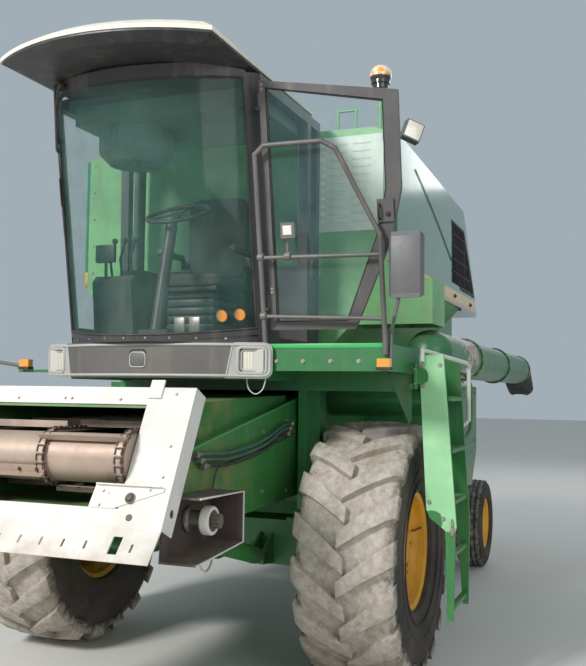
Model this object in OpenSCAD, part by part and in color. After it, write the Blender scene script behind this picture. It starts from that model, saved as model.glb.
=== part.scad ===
// Self-propelled combine harvester without its header, feeder house raised.
// X points to the machine's left, Y to the rear, Z up. Sizes are in millimetres.

/* [Running gear] */
// Front axle to steered rear axle
wheelbase = 3800; // [3500:10:4200]
// Centre of a drive wheel from the middle of the machine
front_track_half = 1119; // [1090:1:1200]
// Outer diameter of a drive tyre over the lugs
front_tyre_d = 1560; // [1500:5:1640]
// Width of a drive tyre
front_tyre_w = 587; // [520:1:600]
// Height of the tread lugs
lug_h = 40; // [25:1:50]
// Lugs on each side of a drive tyre
lug_count = 18; // [16:1:20]
// Width of one tread lug
lug_w = 112; // [80:1:120]
// Bead seat diameter of a drive wheel
front_rim_d = 664; // [630:1:700]
// Height of the rim flange above the bead seat
rim_flange = 24; // [15:1:35]
// Thickness of the wheel disc
disc_t = 14; // [8:1:20]
// Centre of a steered wheel from the middle of the machine
rear_track_half = 1050; // [1030:1:1100]
// Outer diameter of a steered tyre
rear_tyre_d = 860; // [800:5:920]
// Width of a steered tyre
rear_tyre_w = 270; // [220:1:280]
// Bead seat diameter of a steered wheel
rear_rim_d = 457; // [430:1:480]
// Radius of the drive wheel spindle
spindle_r = 70; // [50:1:90]
// Radius of a steering kingpin
kingpin_r = 28; // [20:1:34]
// Kingpin from the middle of the machine
kingpin_x = 850; // [830:1:860]
// Steering arm length behind the kingpin
steer_arm = 200; // [160:1:220]

/* [Body] */
// Half width of the threshing body
body_half = 690; // [670:1:720]
// Underside of the body between the axles
body_bottom = 640; // [600:5:760]
// Deck on top of the body
deck_z = 1960; // [1940:1:1980]
// Rear face of the threshing body behind the front axle
body_back = 3400; // [3300:10:3500]
// Rearmost point behind the front axle
rear_reach = 5230; // [5100:10:5400]
// Half width of the straw hood
hood_half = 720; // [650:5:760]
// Underside of the straw hood
hood_bottom = 1150; // [1120:5:1250]
// Thickness of hood and bin sheet with its folded ribs
sheet_t = 16; // [10:1:25]

/* [Grain tank and engine] */
// Front wall of the grain tank behind the front axle
tank_front = 150; // [130:1:200]
// Rear wall of the grain tank behind the front axle
tank_back = 2350; // [2200:10:2450]
// Half width of the grain tank
tank_half = 1170; // [1140:1:1190]
// Top of the tank side walls
tank_top = 3360; // [3250:5:3450]
// Height where the tank starts to taper to its floor
hopper_z = 2470; // [2400:5:2550]
// Wall of the grain tank with its ribs
tank_wall = 25; // [18:1:40]
// Thickness of the large side panels
panel_t = 24; // [15:1:30]
// Rear end of the side panels
panel_back = 3105; // [3000:5:3200]
// Length of the engine block
engine_l = 950; // [800:10:1000]
// Width of the engine block
engine_w = 700; // [600:10:800]
// Height of the engine block
engine_h = 600; // [500:10:610]

/* [Cab] */
// Half width of the cab over its pillars
cab_half = 690; // [670:1:695]
// Cab floor height
cab_floor = 2050; // [2030:1:2080]
// Foot of the front pillars ahead of the axle
pillar_foot_y = -776; // [-800:1:-750]
// Forward lean of the windscreen in degrees
screen_lean = 9.7; // [6:0.1:12]
// Length of the windscreen along its lean
screen_h = 1405; // [1350:5:1410]
// How far the windscreen bulges forward
screen_bulge = 300; // [250:5:330]
// Thickness of the glass
glass_t = 8; // [5:1:10]
// Cab post section
post = 60; // [45:1:70]
// Rear wall of the cab
cab_back = 55; // [30:1:70]
// Roof front edge ahead of the axle
roof_front = 1680; // [1600:5:1720]
// Half width of the roof
roof_half = 660; // [650:1:690]
// Underside of the roof rim
roof_z = 3555; // [3540:1:3580]

/* [Door, platform and ladder] */
// Width of the cab door at its top
door_w = 780; // [740:1:790]
// Width of the cab door at its foot
door_foot_w = 500; // [460:1:540]
// Rear post of the door frame
door_post = 78; // [50:1:90]
// Platform floor height
platform_z = 2000; // [1985:1:2020]
// Outer edge of the platform from the middle
platform_out = 1405; // [1380:1:1420]
// Radius of the handrail tube
rail_r = 14; // [10:1:18]
// Ladder width between outer faces
ladder_w = 480; // [420:5:500]
// Front face of the ladder
ladder_y = -350; // [-380:1:-330]
// Lowest point of the ladder
ladder_low = 464; // [400:2:520]
// Widest point of the machine from its middle
overall_half = 1680; // [1670:1:1720]

/* [Feeder house] */
// Front axle to the foremost lip
front_reach = 2067; // [2060:1:2080]
// Half width of the feeder house
feeder_half = 600; // [580:1:620]
// Feeder pivot behind the front axle
feeder_pivot_y = 150; // [140:1:160]
// Height of the feeder pivot
feeder_pivot_z = 1408; // [1400:1:1416]
// Radius of the feeder's round rear end
feeder_back_r = 316; // [300:1:325]
// Feeder side plate thickness
feeder_t = 12; // [6:1:16]
// Half width of the front frame
frame_half = 700; // [680:1:720]
// Height of the front frame's top edge
frame_top_z = 1751; // [1740:1:1760]
// Lean of the front frame in degrees
frame_lean = 26.4; // [24:0.1:29]
// Front frame sheet thickness
frame_t = 8; // [5:1:12]
// Conveyor drum radius with its wear sleeve
drum_r = 118; // [100:1:125]
// Spacing of the conveyor chains
strand_gap = 430; // [400:5:450]

/* [Unloading auger] */
// Radius of the unloading tube
tube_r = 150; // [130:1:160]
// Swing axis from the middle of the machine
tube_x = 1362; // [1360:1:1380]
// Swing axis behind the front axle
tube_pivot_y = 365; // [355:1:380]
// Height of the tube's centre line
tube_z = 2000; // [1980:1:2005]
// Rear end of the steel tube
tube_end = 4600; // [4400:10:4700]

/* [Hidden] */
$fn = 48;
seat_gap = 0.3;
run_gap = 6;
mid_y = (rear_reach - front_reach) / 2;
wheel_z = front_tyre_d / 2;
rear_wheel_z = rear_tyre_d / 2;

green = [0.10, 0.36, 0.16];
light_green = [0.42, 0.72, 0.40];
yellow = [0.93, 0.66, 0.10];
dark = [0.12, 0.12, 0.13];
grey = [0.55, 0.54, 0.52];
bleached = [0.90, 0.89, 0.86];
tread = [0.45, 0.42, 0.38];
steel = [0.70, 0.66, 0.60];
pane = [0.55, 0.72, 0.70, 0.4];

// Puts the middle of the machine's length at the origin.
module placed() { translate([0, -mid_y, 0]) children(); }
// The children and their copy on the other side.
module both_sides() {
    children();
    mirror([1, 0, 0]) children();
}
// A box from its low corner to its high corner.
module box(lo, hi) { translate(lo) cube(hi - lo); }
// A side view outline, as [y, z] points, from x0 to x1.
module side_plate(x0, x1, outline) {
    translate([x0, 0, 0]) rotate([90, 0, 90]) linear_extrude(x1 - x0) polygon(outline);
}
// A front view outline, as [x, z] points, from y0 to y1.
module front_plate(y0, y1, outline) {
    translate([0, y1, 0]) rotate([90, 0, 0]) linear_extrude(y1 - y0) polygon(outline);
}
// A straight round bar between two points.
module rod(p, q, r) {
    d = q - p;
    len_pq = norm(d);
    translate(p) rotate([0, acos(d.z / len_pq), atan2(d.y, d.x)]) cylinder(r = r, h = len_pq);
}
// A round tube that turns at each point of its path.
module bent_tube(path, r) {
    for (i = [0 : len(path) - 2]) rod(path[i], path[i + 1], r);
    for (i = [1 : len(path) - 2]) translate(path[i]) sphere(r = r * 1.05, $fn = 24);
}
// A shaft along X from x0 to x1.
module x_shaft(x0, x1, y, z, r) {
    translate([x0, y, z]) rotate([0, 90, 0]) cylinder(r = r, h = x1 - x0);
}
// A rectangle with round corners, centred.
module round_rect(w, h, r) {
    hull() for (x = [-1, 1], z = [-1, 1]) translate([x * (w / 2 - r), z * (h / 2 - r)]) circle(r);
}

// Frame and axles
axle_top = 930;
axle_bottom = 650;
axle_half_y = 140;
rail_x = 560;
rail_w = 90;
rail_back = 620;
saddle_z = 1000;
saddle_drop = 55;
drive_case_in = body_half + 12;
drive_case_out = front_track_half - front_tyre_w / 2 - 24;
front_disc_x = 125;
swing_z = 600;
swing_r = 40;
rear_rail_y = body_back - 420;
rear_rail_in = body_half - 110;
rear_rail_out = body_half - 30;
drive_top = 1150;
mouth_y = -120;
hanger_t = 50;
module main_frame() {
    color(green) placed() {
        both_sides() {
            box([rail_x, -axle_half_y, axle_top], [rail_x + rail_w, axle_half_y, saddle_z - saddle_drop]);
            box([rail_x, axle_half_y - 1, axle_top], [rail_x + rail_w, rail_back, saddle_z - seat_gap]);
            box([rear_rail_in, rear_rail_y, hood_bottom - 110],
                [rear_rail_out, wheelbase + 420, hood_bottom - seat_gap]);
            box([body_half + seat_gap, mouth_y + 5, drive_top],
                [body_half + 80, mouth_y + 115, deck_z - 170]);
        }
        for (y = [wheelbase - 160, wheelbase + 110]) {
            box([-rear_rail_out, y, hood_bottom - 90], [rear_rail_out, y + hanger_t, hood_bottom - 20]);
            hanger(y);
        }
        hitch();
    }
}
// Plate that hangs below the rear frame and holds the rear axle's swing pin.
module hanger(y) {
    difference() {
        front_plate(y, y + hanger_t, [
            [-300, hood_bottom - 40], [-110, swing_z - 60],
            [110, swing_z - 60], [300, hood_bottom - 40]]);
        translate([0, y - 1, swing_z]) rotate([-90, 0, 0]) cylinder(r = swing_r, h = hanger_t + 2);
    }
}

// Towing bracket behind the rear frame with a vertical pin hole.
hitch_y = 4300;
hitch_z = 700;
hitch_r = 16;
hitch_plate_t = 20;
hitch_jaw = 80;
module hitch() {
    arm_front = wheelbase + 110 + hanger_t - 1;
    side_plate(-hitch_plate_t, hitch_plate_t, [
        [arm_front, hood_bottom - 60], [arm_front, hitch_z + 24], [hitch_y - 90, hitch_z + hitch_plate_t - 1],
        [hitch_y - 90, hitch_z + hitch_jaw + 1], [wheelbase + 260, hood_bottom - 60]]);
    for (z = [hitch_z, hitch_z + hitch_jaw]) difference() {
        box([-50, hitch_y - 130, z], [50, hitch_y + 50, z + hitch_plate_t]);
        translate([0, hitch_y, z - 1]) cylinder(r = hitch_r, h = hitch_plate_t + 2);
    }
}
module front_axle() {
    color(green) placed() {
        difference() {
            box([-drive_case_in, -axle_half_y, axle_bottom],
                [drive_case_in, axle_half_y, axle_top - seat_gap]);
            for (x = [-250, 250]) translate([x - 160, -axle_half_y - 1, axle_bottom - 1])
                cube([320, 2 * axle_half_y + 2, 60]);
        }
        both_sides() {
            hull() {
                x_shaft(drive_case_in, drive_case_out, 0, wheel_z, 190);
                x_shaft(drive_case_in, drive_case_out, 170, wheel_z + 230, 120);
            }
            x_shaft(drive_case_out, front_track_half + front_disc_x - disc_t / 2 - seat_gap,
                0, wheel_z, spindle_r);
            x_shaft(drive_case_out, drive_case_out + 60, 0, wheel_z, 130);
            lift_bracket();
        }
    }
}
lift_x = 430;
lift_foot = [-260, 715];
lift_eye = [-1250, 985];
lift_pin_r = 18;
ear_t = 16;
eye_w = 56;
ear_x = eye_w / 2 + ear_t / 2 + 3;
pin_end = eye_w / 2 + ear_t + 3;
// Two ears and the pin that carry a lift cylinder's foot.
module lift_bracket() {
    for (x = [lift_x - ear_x, lift_x + ear_x]) side_plate(x - ear_t / 2, x + ear_t / 2, [
        [-axle_half_y, axle_bottom + 10], [lift_foot.x - 45, lift_foot.y - 40],
        [lift_foot.x - 45, lift_foot.y + 40], [-axle_half_y, axle_bottom + 200]]);
    x_shaft(lift_x - pin_end, lift_x + pin_end, lift_foot.x, lift_foot.y, lift_pin_r);
}

// Body of the machine
mouth_half = feeder_half + 25;
mouth_r = feeder_back_r + 20;
side_rib = [1150, 1750];
rib_pitch = 640;
module separator_body() {
    color(green) placed() difference() {
        side_plate(-body_half, body_half, [
            [mouth_y, saddle_z], [mouth_y, deck_z], [body_back, deck_z], [body_back, hood_bottom],
            [body_back - 500, body_bottom + 60], [1900, body_bottom], [900, body_bottom],
            [rail_back, saddle_z]]);
        x_shaft(-mouth_half, mouth_half, feeder_pivot_y, feeder_pivot_z, mouth_r);
        box([-mouth_half, mouth_y - 1, saddle_z - 1], [mouth_half, feeder_pivot_y, feeder_pivot_z + mouth_r]);
        box([-mouth_half, feeder_pivot_y - 1, saddle_z - 1],
            [mouth_half, feeder_pivot_y + 90, saddle_z + 110]);
        both_sides() {
            for (i = [0 : 2]) rib_panel(i * rib_pitch);
            box([rear_rail_in - seat_gap, rear_rail_y - seat_gap, hood_bottom - 600],
                [rear_rail_out + seat_gap, body_back + 1, hood_bottom + seat_gap]);
        }
    }
}
// Pressed field in the body's side, y behind the first one
module rib_panel(y) {
    box([body_half - 12, side_rib[0] + y, side_rib[0]], [body_half + 1, side_rib[0] + y + 500, side_rib[1]]);
}
shield_out = 1180;
shield_front = 1120;
shield_back = 3180;
shield_top = deck_z - 160;
shield_low = 900;
module side_shields() {
    color(green) placed() both_sides() difference() {
        side_plate(body_half + seat_gap, shield_out, [
            [shield_front, shield_top], [shield_front, 1250], [shield_front + 130, shield_low],
            [shield_back - 250, shield_low], [shield_back, 1200], [shield_back, shield_top]]);
        side_plate(body_half - 1, shield_out - sheet_t, [
            [shield_front + sheet_t, shield_top + 1], [shield_front + sheet_t, 1254],
            [shield_front + 142, shield_low - 20], [shield_back - 262, shield_low - 20],
            [shield_back - sheet_t, 1204], [shield_back - sheet_t, shield_top + 1]]);
        for (y = [580, 1280]) box([shield_out - 5, shield_front + y, shield_low - 20],
            [shield_out + 1, shield_front + y + 12, deck_z]);
    }
}

// Grain tank: a bin open at its top, tapered to a narrow floor
wall_over = 200;
module bin_section(grow) {
    floor_z = deck_z + tank_wall - grow;
    polygon([
        [-tank_half - grow, tank_top + wall_over], [-tank_half - grow, hopper_z],
        [-body_half - grow, floor_z],
        [body_half + grow, floor_z], [tank_half + grow, hopper_z], [tank_half + grow, tank_top + wall_over]]);
}
front_peak = tank_top + 130;
hoop_z = 3616;
hoop_x = [780, 905];
hoop_r = 9;
module grain_tank() {
    wall_mid = tank_front + tank_wall / 2;
    color(light_green) placed() {
        difference() {
            translate([0, tank_back, 0]) rotate([90, 0, 0])
                linear_extrude(tank_back - tank_front) bin_section(0);
            translate([0, tank_back - tank_wall, 0]) rotate([90, 0, 0])
                linear_extrude(tank_back - tank_front - 2 * tank_wall)
                    translate([0, 1]) bin_section(-tank_wall);
            side_plate(-tank_half - 1, tank_half + 1, [
                [tank_front + tank_wall, tank_top + 300], [tank_front + tank_wall, tank_top + 70],
                [tank_front + 1000, tank_top + 20], [tank_back + 1, tank_top],
                [tank_back + 1, tank_top + 300]]);
            front_plate(tank_front - 1, tank_front + tank_wall + 1, [
                [-tank_half - 1, front_peak - 50], [-1020, front_peak], [1020, front_peak],
                [tank_half + 1, front_peak - 50], [tank_half + 1, tank_top + 300],
                [-tank_half - 1, tank_top + 300]]);
        }
        elbow_box();
        for (x = hoop_x) rod([x, wall_mid, front_peak - 40], [x, wall_mid, hoop_z], hoop_r);
        rod([hoop_x[0] - hoop_r, wall_mid, hoop_z], [hoop_x[1] + hoop_r, wall_mid, hoop_z], hoop_r);
        rod([beacon_x, tank_front + 12, front_peak - 60], [beacon_x, tank_front + 12, beacon_z], 12);
    }
}
beacon_x = 1072;
beacon_z = 3738;
// Housing at the tank's front left corner, over the unloading elbow
box_out = 1425;
box_low = 2180;
box_l = 370;
box_t = 12;
module elbow_box() {
    difference() {
        box([tank_half - 300, tank_front, box_low], [box_out, tank_front + box_l, hopper_z]);
        box([tank_half + 20, tank_front + box_t, box_low - 1],
            [box_out - box_t, tank_front + box_l - box_t, hopper_z - box_t]);
    }
}
elbow_z = 1690;
elbow_r = 112;
turn_z = tube_z - 190;
// Pipe from the body's side that turns up to the foot of the unloading tube
module auger_elbow() {
    color(green) placed() {
        x_shaft(body_half + seat_gap, tube_x, tube_pivot_y, elbow_z, elbow_r);
        translate([tube_x, tube_pivot_y, elbow_z]) sphere(r = elbow_r * 1.05);
        translate([tube_x, tube_pivot_y, elbow_z]) cylinder(r = elbow_r, h = turn_z - elbow_z - 30);
        translate([tube_x, tube_pivot_y, turn_z - 31]) cylinder(r = tube_r + 10, h = 31 - seat_gap);
    }
}
bin_floor = deck_z + 2 * tank_wall + 1;
fill_y = 1250;
fill_top = [-60, fill_y, tank_top - 60];
module filling_auger() {
    color(grey) placed() {
        rod([-520, fill_y, bin_floor + 150], fill_top, 95);
        translate(fill_top) sphere(r = 100);
        x_shaft(-body_half + 60, body_half - 60, fill_y, bin_floor + 135, 125);
        for (x = [-500, 500])
            box([x - 20, fill_y - 100, bin_floor + seat_gap], [x + 20, fill_y + 100, bin_floor + 60]);
    }
}
panel_out = tank_half + seat_gap + panel_t;
stripe_low = 2490;
stripe_high = 2612;
screen_recess = 4;
screen_low = stripe_high + 20;
screen_high = 3190;
screen_y = [tank_front + 1740, panel_back - 640, panel_back - 110, tank_front + 2160, tank_front + 1950];
module side_panels() {
    color(green) placed() both_sides() {
        difference() {
            hull() {
                side_plate(tank_half + seat_gap, panel_out, [
                    [tank_front, stripe_low], [tank_front, tank_top + 76], [tank_front + 1011, tank_top + 28],
                    [panel_back - 800, tank_top + 2], [panel_back - 2, stripe_low - 12]]);
                x_shaft(tank_half + seat_gap, panel_out, panel_back - 690, tank_top - 90, 88);
                x_shaft(tank_half + seat_gap, panel_out, panel_back - 36, stripe_low + 25, 36);
            }
            side_plate(panel_out - screen_recess, panel_out + 1, [
                [screen_y[0], screen_high], [screen_y[1], screen_high - 4], [screen_y[2], screen_low],
                [screen_y[3], screen_low], [screen_y[4], screen_low + 88]]);
        }
        box([hood_w + seat_gap, tank_back + seat_gap, stripe_low - 30],
            [panel_out, panel_back - 40, stripe_low]);
    }
}
module air_screens() {
    color(dark) placed() both_sides() side_plate(panel_out - screen_recess + seat_gap, panel_out + 3, [
        [screen_y[0] + 10, screen_high - 8], [screen_y[1] - 4, screen_high - 12],
        [screen_y[2] - 12, screen_low + 8],
        [screen_y[3] + 4, screen_low + 8], [screen_y[4] + 8, screen_low + 92]]);
}
engine_front = tank_back + 60;
module engine_block() {
    color(grey) placed() box([-engine_w / 2, engine_front, deck_z + seat_gap],
        [engine_w / 2, engine_front + engine_l, deck_z + engine_h]);
}
hood_w = 900;
hood_top = 2860;
hood_slope = 300;
module engine_hood() {
    hood_end = body_back;
    color(green) placed() difference() {
        side_plate(-hood_w, hood_w, [
            [tank_back + seat_gap, deck_z + seat_gap], [tank_back + seat_gap, hood_top],
            [hood_end - hood_slope, hood_top], [hood_end, hood_top - hood_slope],
            [hood_end, deck_z + seat_gap]]);
        side_plate(-hood_w + sheet_t, hood_w - sheet_t, [
            [tank_back + 20, deck_z - 1], [tank_back + 20, hood_top - sheet_t],
            [hood_end - hood_slope - 7, hood_top - sheet_t], [hood_end - sheet_t, hood_top - hood_slope - 7],
            [hood_end - sheet_t, deck_z - 1]]);
        for (x = [-560 : 140 : 560])
            box([x - 50, hood_end - 30, deck_z + 140], [x + 50, hood_end + 1, deck_z + 490]);
    }
}
stack_x = -520;
stack_y = engine_front + 500;
intake_x = 560;
intake_y = engine_front + 380;
module exhaust_stack() {
    color(dark) placed() {
        translate([stack_x, stack_y, hood_top + seat_gap]) cylinder(r = 60, h = 330);
        translate([stack_x, stack_y, hood_top + 310]) rotate([30, 0, 0]) cylinder(r = 48, h = 190);
        translate([intake_x, intake_y, hood_top + seat_gap]) cylinder(r = 75, h = 190);
        translate([intake_x, intake_y, hood_top + 180]) cylinder(r = 120, h = 120);
    }
}
// Rear hood: [y, z] of its top, shoulder, tail and foot
straw_top = [4350, 2220];
straw_shoulder = [5030, 1930];
straw_tail = [5150, 1560];
straw_foot = [5060, hood_bottom];
straw_join = 2250;
module straw_hood() {
    color(green) placed() difference() {
        side_plate(-hood_half, hood_half, [
            [body_back + seat_gap, hood_bottom], [body_back + seat_gap, straw_join],
            straw_top, straw_shoulder, straw_tail, straw_foot]);
        side_plate(-hood_half + sheet_t, hood_half - sheet_t, [
            [body_back + 20, hood_bottom + sheet_t], [body_back + 20, straw_join - 17],
            straw_top - [4, sheet_t],
            straw_shoulder - [13, 11], straw_tail - [17, 0], straw_foot - [14, 1],
            [straw_top.x - 50, hood_bottom - 1], [straw_top.x - 100, hood_bottom + sheet_t]]);
        for (x = [-450 : 300 : 450]) side_plate(x - 4, x + 4, [
            straw_shoulder + [-40, 20], straw_shoulder + [0, 1], straw_tail + [1, 0], straw_tail - [30, 80]]);
    }
}
chopper_y = 4600;
chopper_low = 850;
chopper_t = 12;
rotor_at = [4780, 1010];
module straw_chopper() {
    top = hood_bottom - seat_gap;
    color(green) placed() {
        difference() {
            side_plate(-hood_half, hood_half, [
                [chopper_y - 180, top], [straw_shoulder.x, top], [5080, 1010], [4900, chopper_low],
                [chopper_y - 100, chopper_low + 10]]);
            side_plate(-hood_half + chopper_t, hood_half - chopper_t, [
                [chopper_y - 168, top + 2], [straw_shoulder.x - 11, top + 2], [5066, 1014], [5100, 1000],
                [4880, chopper_low - 50], [4700, chopper_low + 22], [chopper_y - 92, chopper_low + 22]]);
        }
        x_shaft(-hood_half + chopper_t - 1, hood_half - chopper_t + 1, rotor_at.x, rotor_at.y, 70);
        side_plate(-hood_half + 20, hood_half - 20, [
            [5060, 1080], [rear_reach, 930], [rear_reach - 3, 920], [5060, 1068]]);
        for (x = [-560 : 140 : 560]) side_plate(x - 3, x + 3, [
            [5075, 1062], [rear_reach - 14, 918], [rear_reach - 60, 830], [5085, 985]]);
    }
}

// Cab
screen_half = cab_half - post - 4;
screen_r = (screen_half * screen_half + screen_bulge * screen_bulge) / (2 * screen_bulge);
screen_foot_z = cab_floor + 40;
pillar_h = screen_h + 25;
pillar_top_y = pillar_foot_y - pillar_h * sin(screen_lean);
b_post_y = -170;
bar_low = 1808;
bar_h = 200;
bar_y = -847;
nose_z = bar_low + bar_h + seat_gap;
hinge_z = [120, 1230];
hinge_r = 13;
hinge_arm_t = 16;
post_back = 112;
sill_h = 70;
rail_low = roof_z - 45;
window_low = 2450;
rear_sill = 2560;
kink_z = 2900;
pane_top = roof_z - 106;
// Space whose up direction leans forward with the windscreen.
module leaning(y = pillar_foot_y) { translate([0, y, screen_foot_z]) rotate([screen_lean, 0, 0]) children(); }
// Ring segment in plan: the forward part of a circle, half wide each side and as deep as its bulge.
module bow(outer, inner, h, half = screen_half, bulge = screen_bulge, r = screen_r, back = 0) {
    intersection() {
        translate([0, r - bulge, 0]) difference() {
            cylinder(r = r + outer, h = h, $fn = 360);
            translate([0, 0, -1]) cylinder(r = r + inner, h = h + 2, $fn = 360);
        }
        translate([-half, -bulge - outer - 10, -1]) cube([2 * half, bulge + outer + 10 + back, h + 2]);
    }
}
post_foot = 75;
// Curved front posts, which carry on the line of the windscreen
module front_posts() {
    difference() {
        translate([0, 0, -post_foot]) bow(10, -30, pillar_h + post_foot, half = cab_half, back = 160);
        translate([-screen_half - 4, -screen_bulge - 50, -post_foot - 1])
            cube([2 * screen_half + 8, screen_bulge + 300, pillar_h + post_foot + 2]);
    }
}
// Fixed eye of a door hinge, with its bent arm back to the post
module door_eye(z) {
    h = hinge_arm_t - seat_gap;
    arm_x = cab_half - hinge.x - 1;
    translate([0, 0, z - hinge_arm_t]) {
        cylinder(r = hinge_r, h = h);
        translate([arm_x, -6, 0]) cube([-arm_x, 12, h]);
        translate([arm_x, -6, 0]) cube([5, post_back + 6, h]);
    }
}
module cab_floor_pan() {
    difference() {
        union() {
            box([-cab_half, pillar_foot_y + 100, deck_z + seat_gap], [cab_half, cab_back, cab_floor]);
            intersection() {
                translate([0, pillar_foot_y - screen_bulge + screen_r, nose_z])
                    cylinder(r = screen_r, h = cab_floor - nose_z, $fn = 360);
                box([-cab_half, pillar_foot_y - 400, deck_z], [cab_half, pillar_foot_y + 101, cab_floor]);
            }
        }
        leaning() translate([-cab_half, -400, -1]) cube([2 * cab_half, 400, 100]);
        box([-cab_half + 40, pillar_foot_y + 140, deck_z - 1],
            [cab_half - 40, cab_back - 40, cab_floor - 30]);
    }
}
module cab_frame() {
    color(dark) placed() {
        cab_floor_pan();
        difference() {
            leaning() {
                front_posts();
                translate([0, 0, -30]) bow(10, -20, 30, half = screen_half + 5, back = 10);
                translate([0, 0, screen_h + 2]) bow(10, -30, 70, half = screen_half + 5, back = 10);
            }
            box([-cab_half - 1, -roof_front, rail_low], [cab_half + 1, 0, roof_z + 60]);
            box([-cab_half - 1, -roof_front, deck_z], [cab_half + 1, 0, nose_z]);
        }
        at_door() for (z = hinge_z) door_eye(z);
        both_sides() {
            side_plate(cab_half - post, cab_half, [
                [b_post_y + 20, cab_floor - 1], [b_post_y, kink_z], [b_post_y - 10, rail_low],
                [b_post_y + 50, rail_low], [b_post_y + 60, kink_z], [b_post_y + 80, cab_floor - 1]]);
            box([cab_half - post, cab_back - post, cab_floor - 1], [cab_half, cab_back, rail_low]);
            box([cab_half - post, pillar_top_y + 80, rail_low - 60], [cab_half, cab_back, rail_low - 1]);
            box([cab_half - post / 2, b_post_y + 40, cab_floor - 1], [cab_half, cab_back - 20, window_low]);
        }
        box([-cab_half, pillar_foot_y + 90, cab_floor - 1], [-cab_half + post, cab_back, cab_floor + sill_h]);
        box([-cab_half + post - 1, cab_back - 30, cab_floor - 1], [cab_half - post + 1, cab_back, rear_sill]);
        box([-cab_half + post - 1, cab_back - 40, rail_low - 85],
            [cab_half - post + 1, cab_back, rail_low - 1]);
        box([-cab_half, pillar_top_y + 80, rail_low - 15], [cab_half, cab_back, rail_low]);
    }
}
module windscreen() {
    color(pane) placed() leaning() translate([0, 0, seat_gap]) bow(0, -glass_t, screen_h - seat_gap + 1.7);
}
pane_low = cab_floor + sill_h + seat_gap;
pane_x = cab_half - 34;
module cab_windows() {
    rear_edge = cab_back - post - seat_gap;
    color(pane) placed() {
        side_plate(-pane_x - glass_t, -pane_x, [
            [pillar_foot_y + post_back, pane_low], [b_post_y + 15, pane_low], [b_post_y - seat_gap, kink_z],
            [b_post_y - 10 - seat_gap, pane_top], [pillar_top_y + post_back + 12, pane_top]]);
        both_sides() side_plate(pane_x, pane_x + glass_t, [
            [b_post_y + 72, window_low + seat_gap], [rear_edge, window_low + seat_gap],
            [rear_edge, pane_top], [b_post_y + 54, pane_top], [b_post_y + 62, kink_z]]);
        box([-cab_half + post + seat_gap, cab_back - 22, rear_sill + seat_gap],
            [cab_half - post - seat_gap, cab_back - 14, rail_low - 85 - seat_gap]);
    }
}
// Roof outline in plan; grow moves it outward.
roof_bow = 200;
roof_r = (roof_half * roof_half + roof_bow * roof_bow) / (2 * roof_bow);
module roof_outline(grow, back) {
    intersection() {
        translate([0, -roof_front + roof_r]) circle(roof_r + grow, $fn = 120);
        offset(60) offset(-60) translate([-roof_half - grow, -roof_front - 200])
            square([2 * (roof_half + grow), roof_front + 200 + back]);
    }
}
module cab_roof() {
    color(bleached) placed() hull() {
        translate([0, 0, roof_z]) linear_extrude(22) roof_outline(0, 30);
        translate([0, 0, roof_z + 60]) linear_extrude(8) roof_outline(-70, 0);
        translate([0, 0, roof_z + 84]) linear_extrude(4) roof_outline(-260, -150);
    }
}
module roof_visor() {
    color(dark) placed() hull() {
        translate([0, 0, roof_z - 12]) linear_extrude(12 - seat_gap) roof_outline(-6, 26);
        translate([0, 0, rail_low + seat_gap]) linear_extrude(4) roof_outline(-80, 20);
    }
}
bar_half = 749;
bar_bulge = 190;
bar_r = (bar_half * bar_half + bar_bulge * bar_bulge) / (2 * bar_bulge);
bar_d = 110;
lamp_x = 645;
lamp_size = 128;
lamp_low = bar_low + (bar_h - lamp_size) / 2;
lamp_back = 38;
emblem = [110, 92];
module light_bar() {
    color(grey) placed() difference() {
        intersection() {
            translate([0, bar_y, bar_low]) bow(0, -bar_d, bar_h, bar_half, bar_bulge, bar_r);
            translate([0, bar_y + 247, bar_low + bar_h / 2]) rotate([90, 0, 0])
                linear_extrude(600) round_rect(2 * bar_half, bar_h, 45);
        }
        for (x = [-lamp_x, lamp_x]) translate([x - lamp_size / 2, bar_y - 253, lamp_low])
            cube([lamp_size, 255, lamp_size]);
        translate([0, bar_y - 153, lamp_low + 76]) rotate([90, 0, 0]) linear_extrude(100) difference() {
            round_rect(emblem.x, emblem.y, 24);
            round_rect(emblem.x - 12, emblem.y - 12, 20);
        }
    }
}
marker_z = 1856;
module lamps() {
    color(bleached) placed() {
        for (x = [-lamp_x, lamp_x])
            translate([x - lamp_size / 2 + seat_gap, bar_y + 1 - lamp_back, lamp_low + seat_gap])
                cube([lamp_size - 2 * seat_gap, lamp_back, lamp_size - 2 * seat_gap]);
        amber_lamp(platform_out - 22, platform_front - seat_gap - 20);
        amber_lamp(-950, platform_front + 8);
        translate([beacon_x, tank_front + 12, beacon_z + seat_gap]) {
            cylinder(r = 52, h = 34);
            translate([0, 0, 33]) cylinder(r = 62, h = 47);
            translate([0, 0, 90]) sphere(r = 72);
        }
        work_light();
    }
}
// Small marker lamp with its base.
module amber_lamp(x, y) { translate([x - 30, y - 25, marker_z + seat_gap]) cube([70, 45, 62]); }
work_at = [1310, 60, 3400];
module work_light() {
    foot_x = beacon_x + 23;
    wall_y = tank_front - seat_gap;
    box([foot_x, wall_y - 12, front_peak - 100], [foot_x + 55, wall_y, front_peak - 50]);
    rod([foot_x + 33, tank_front - 16, front_peak - 75], work_at - [20, -12, -4], 13);
    translate(work_at) rotate([0, 20, 35]) translate([-60, -35, -60]) cube([120, 70, 120]);
}
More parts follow.
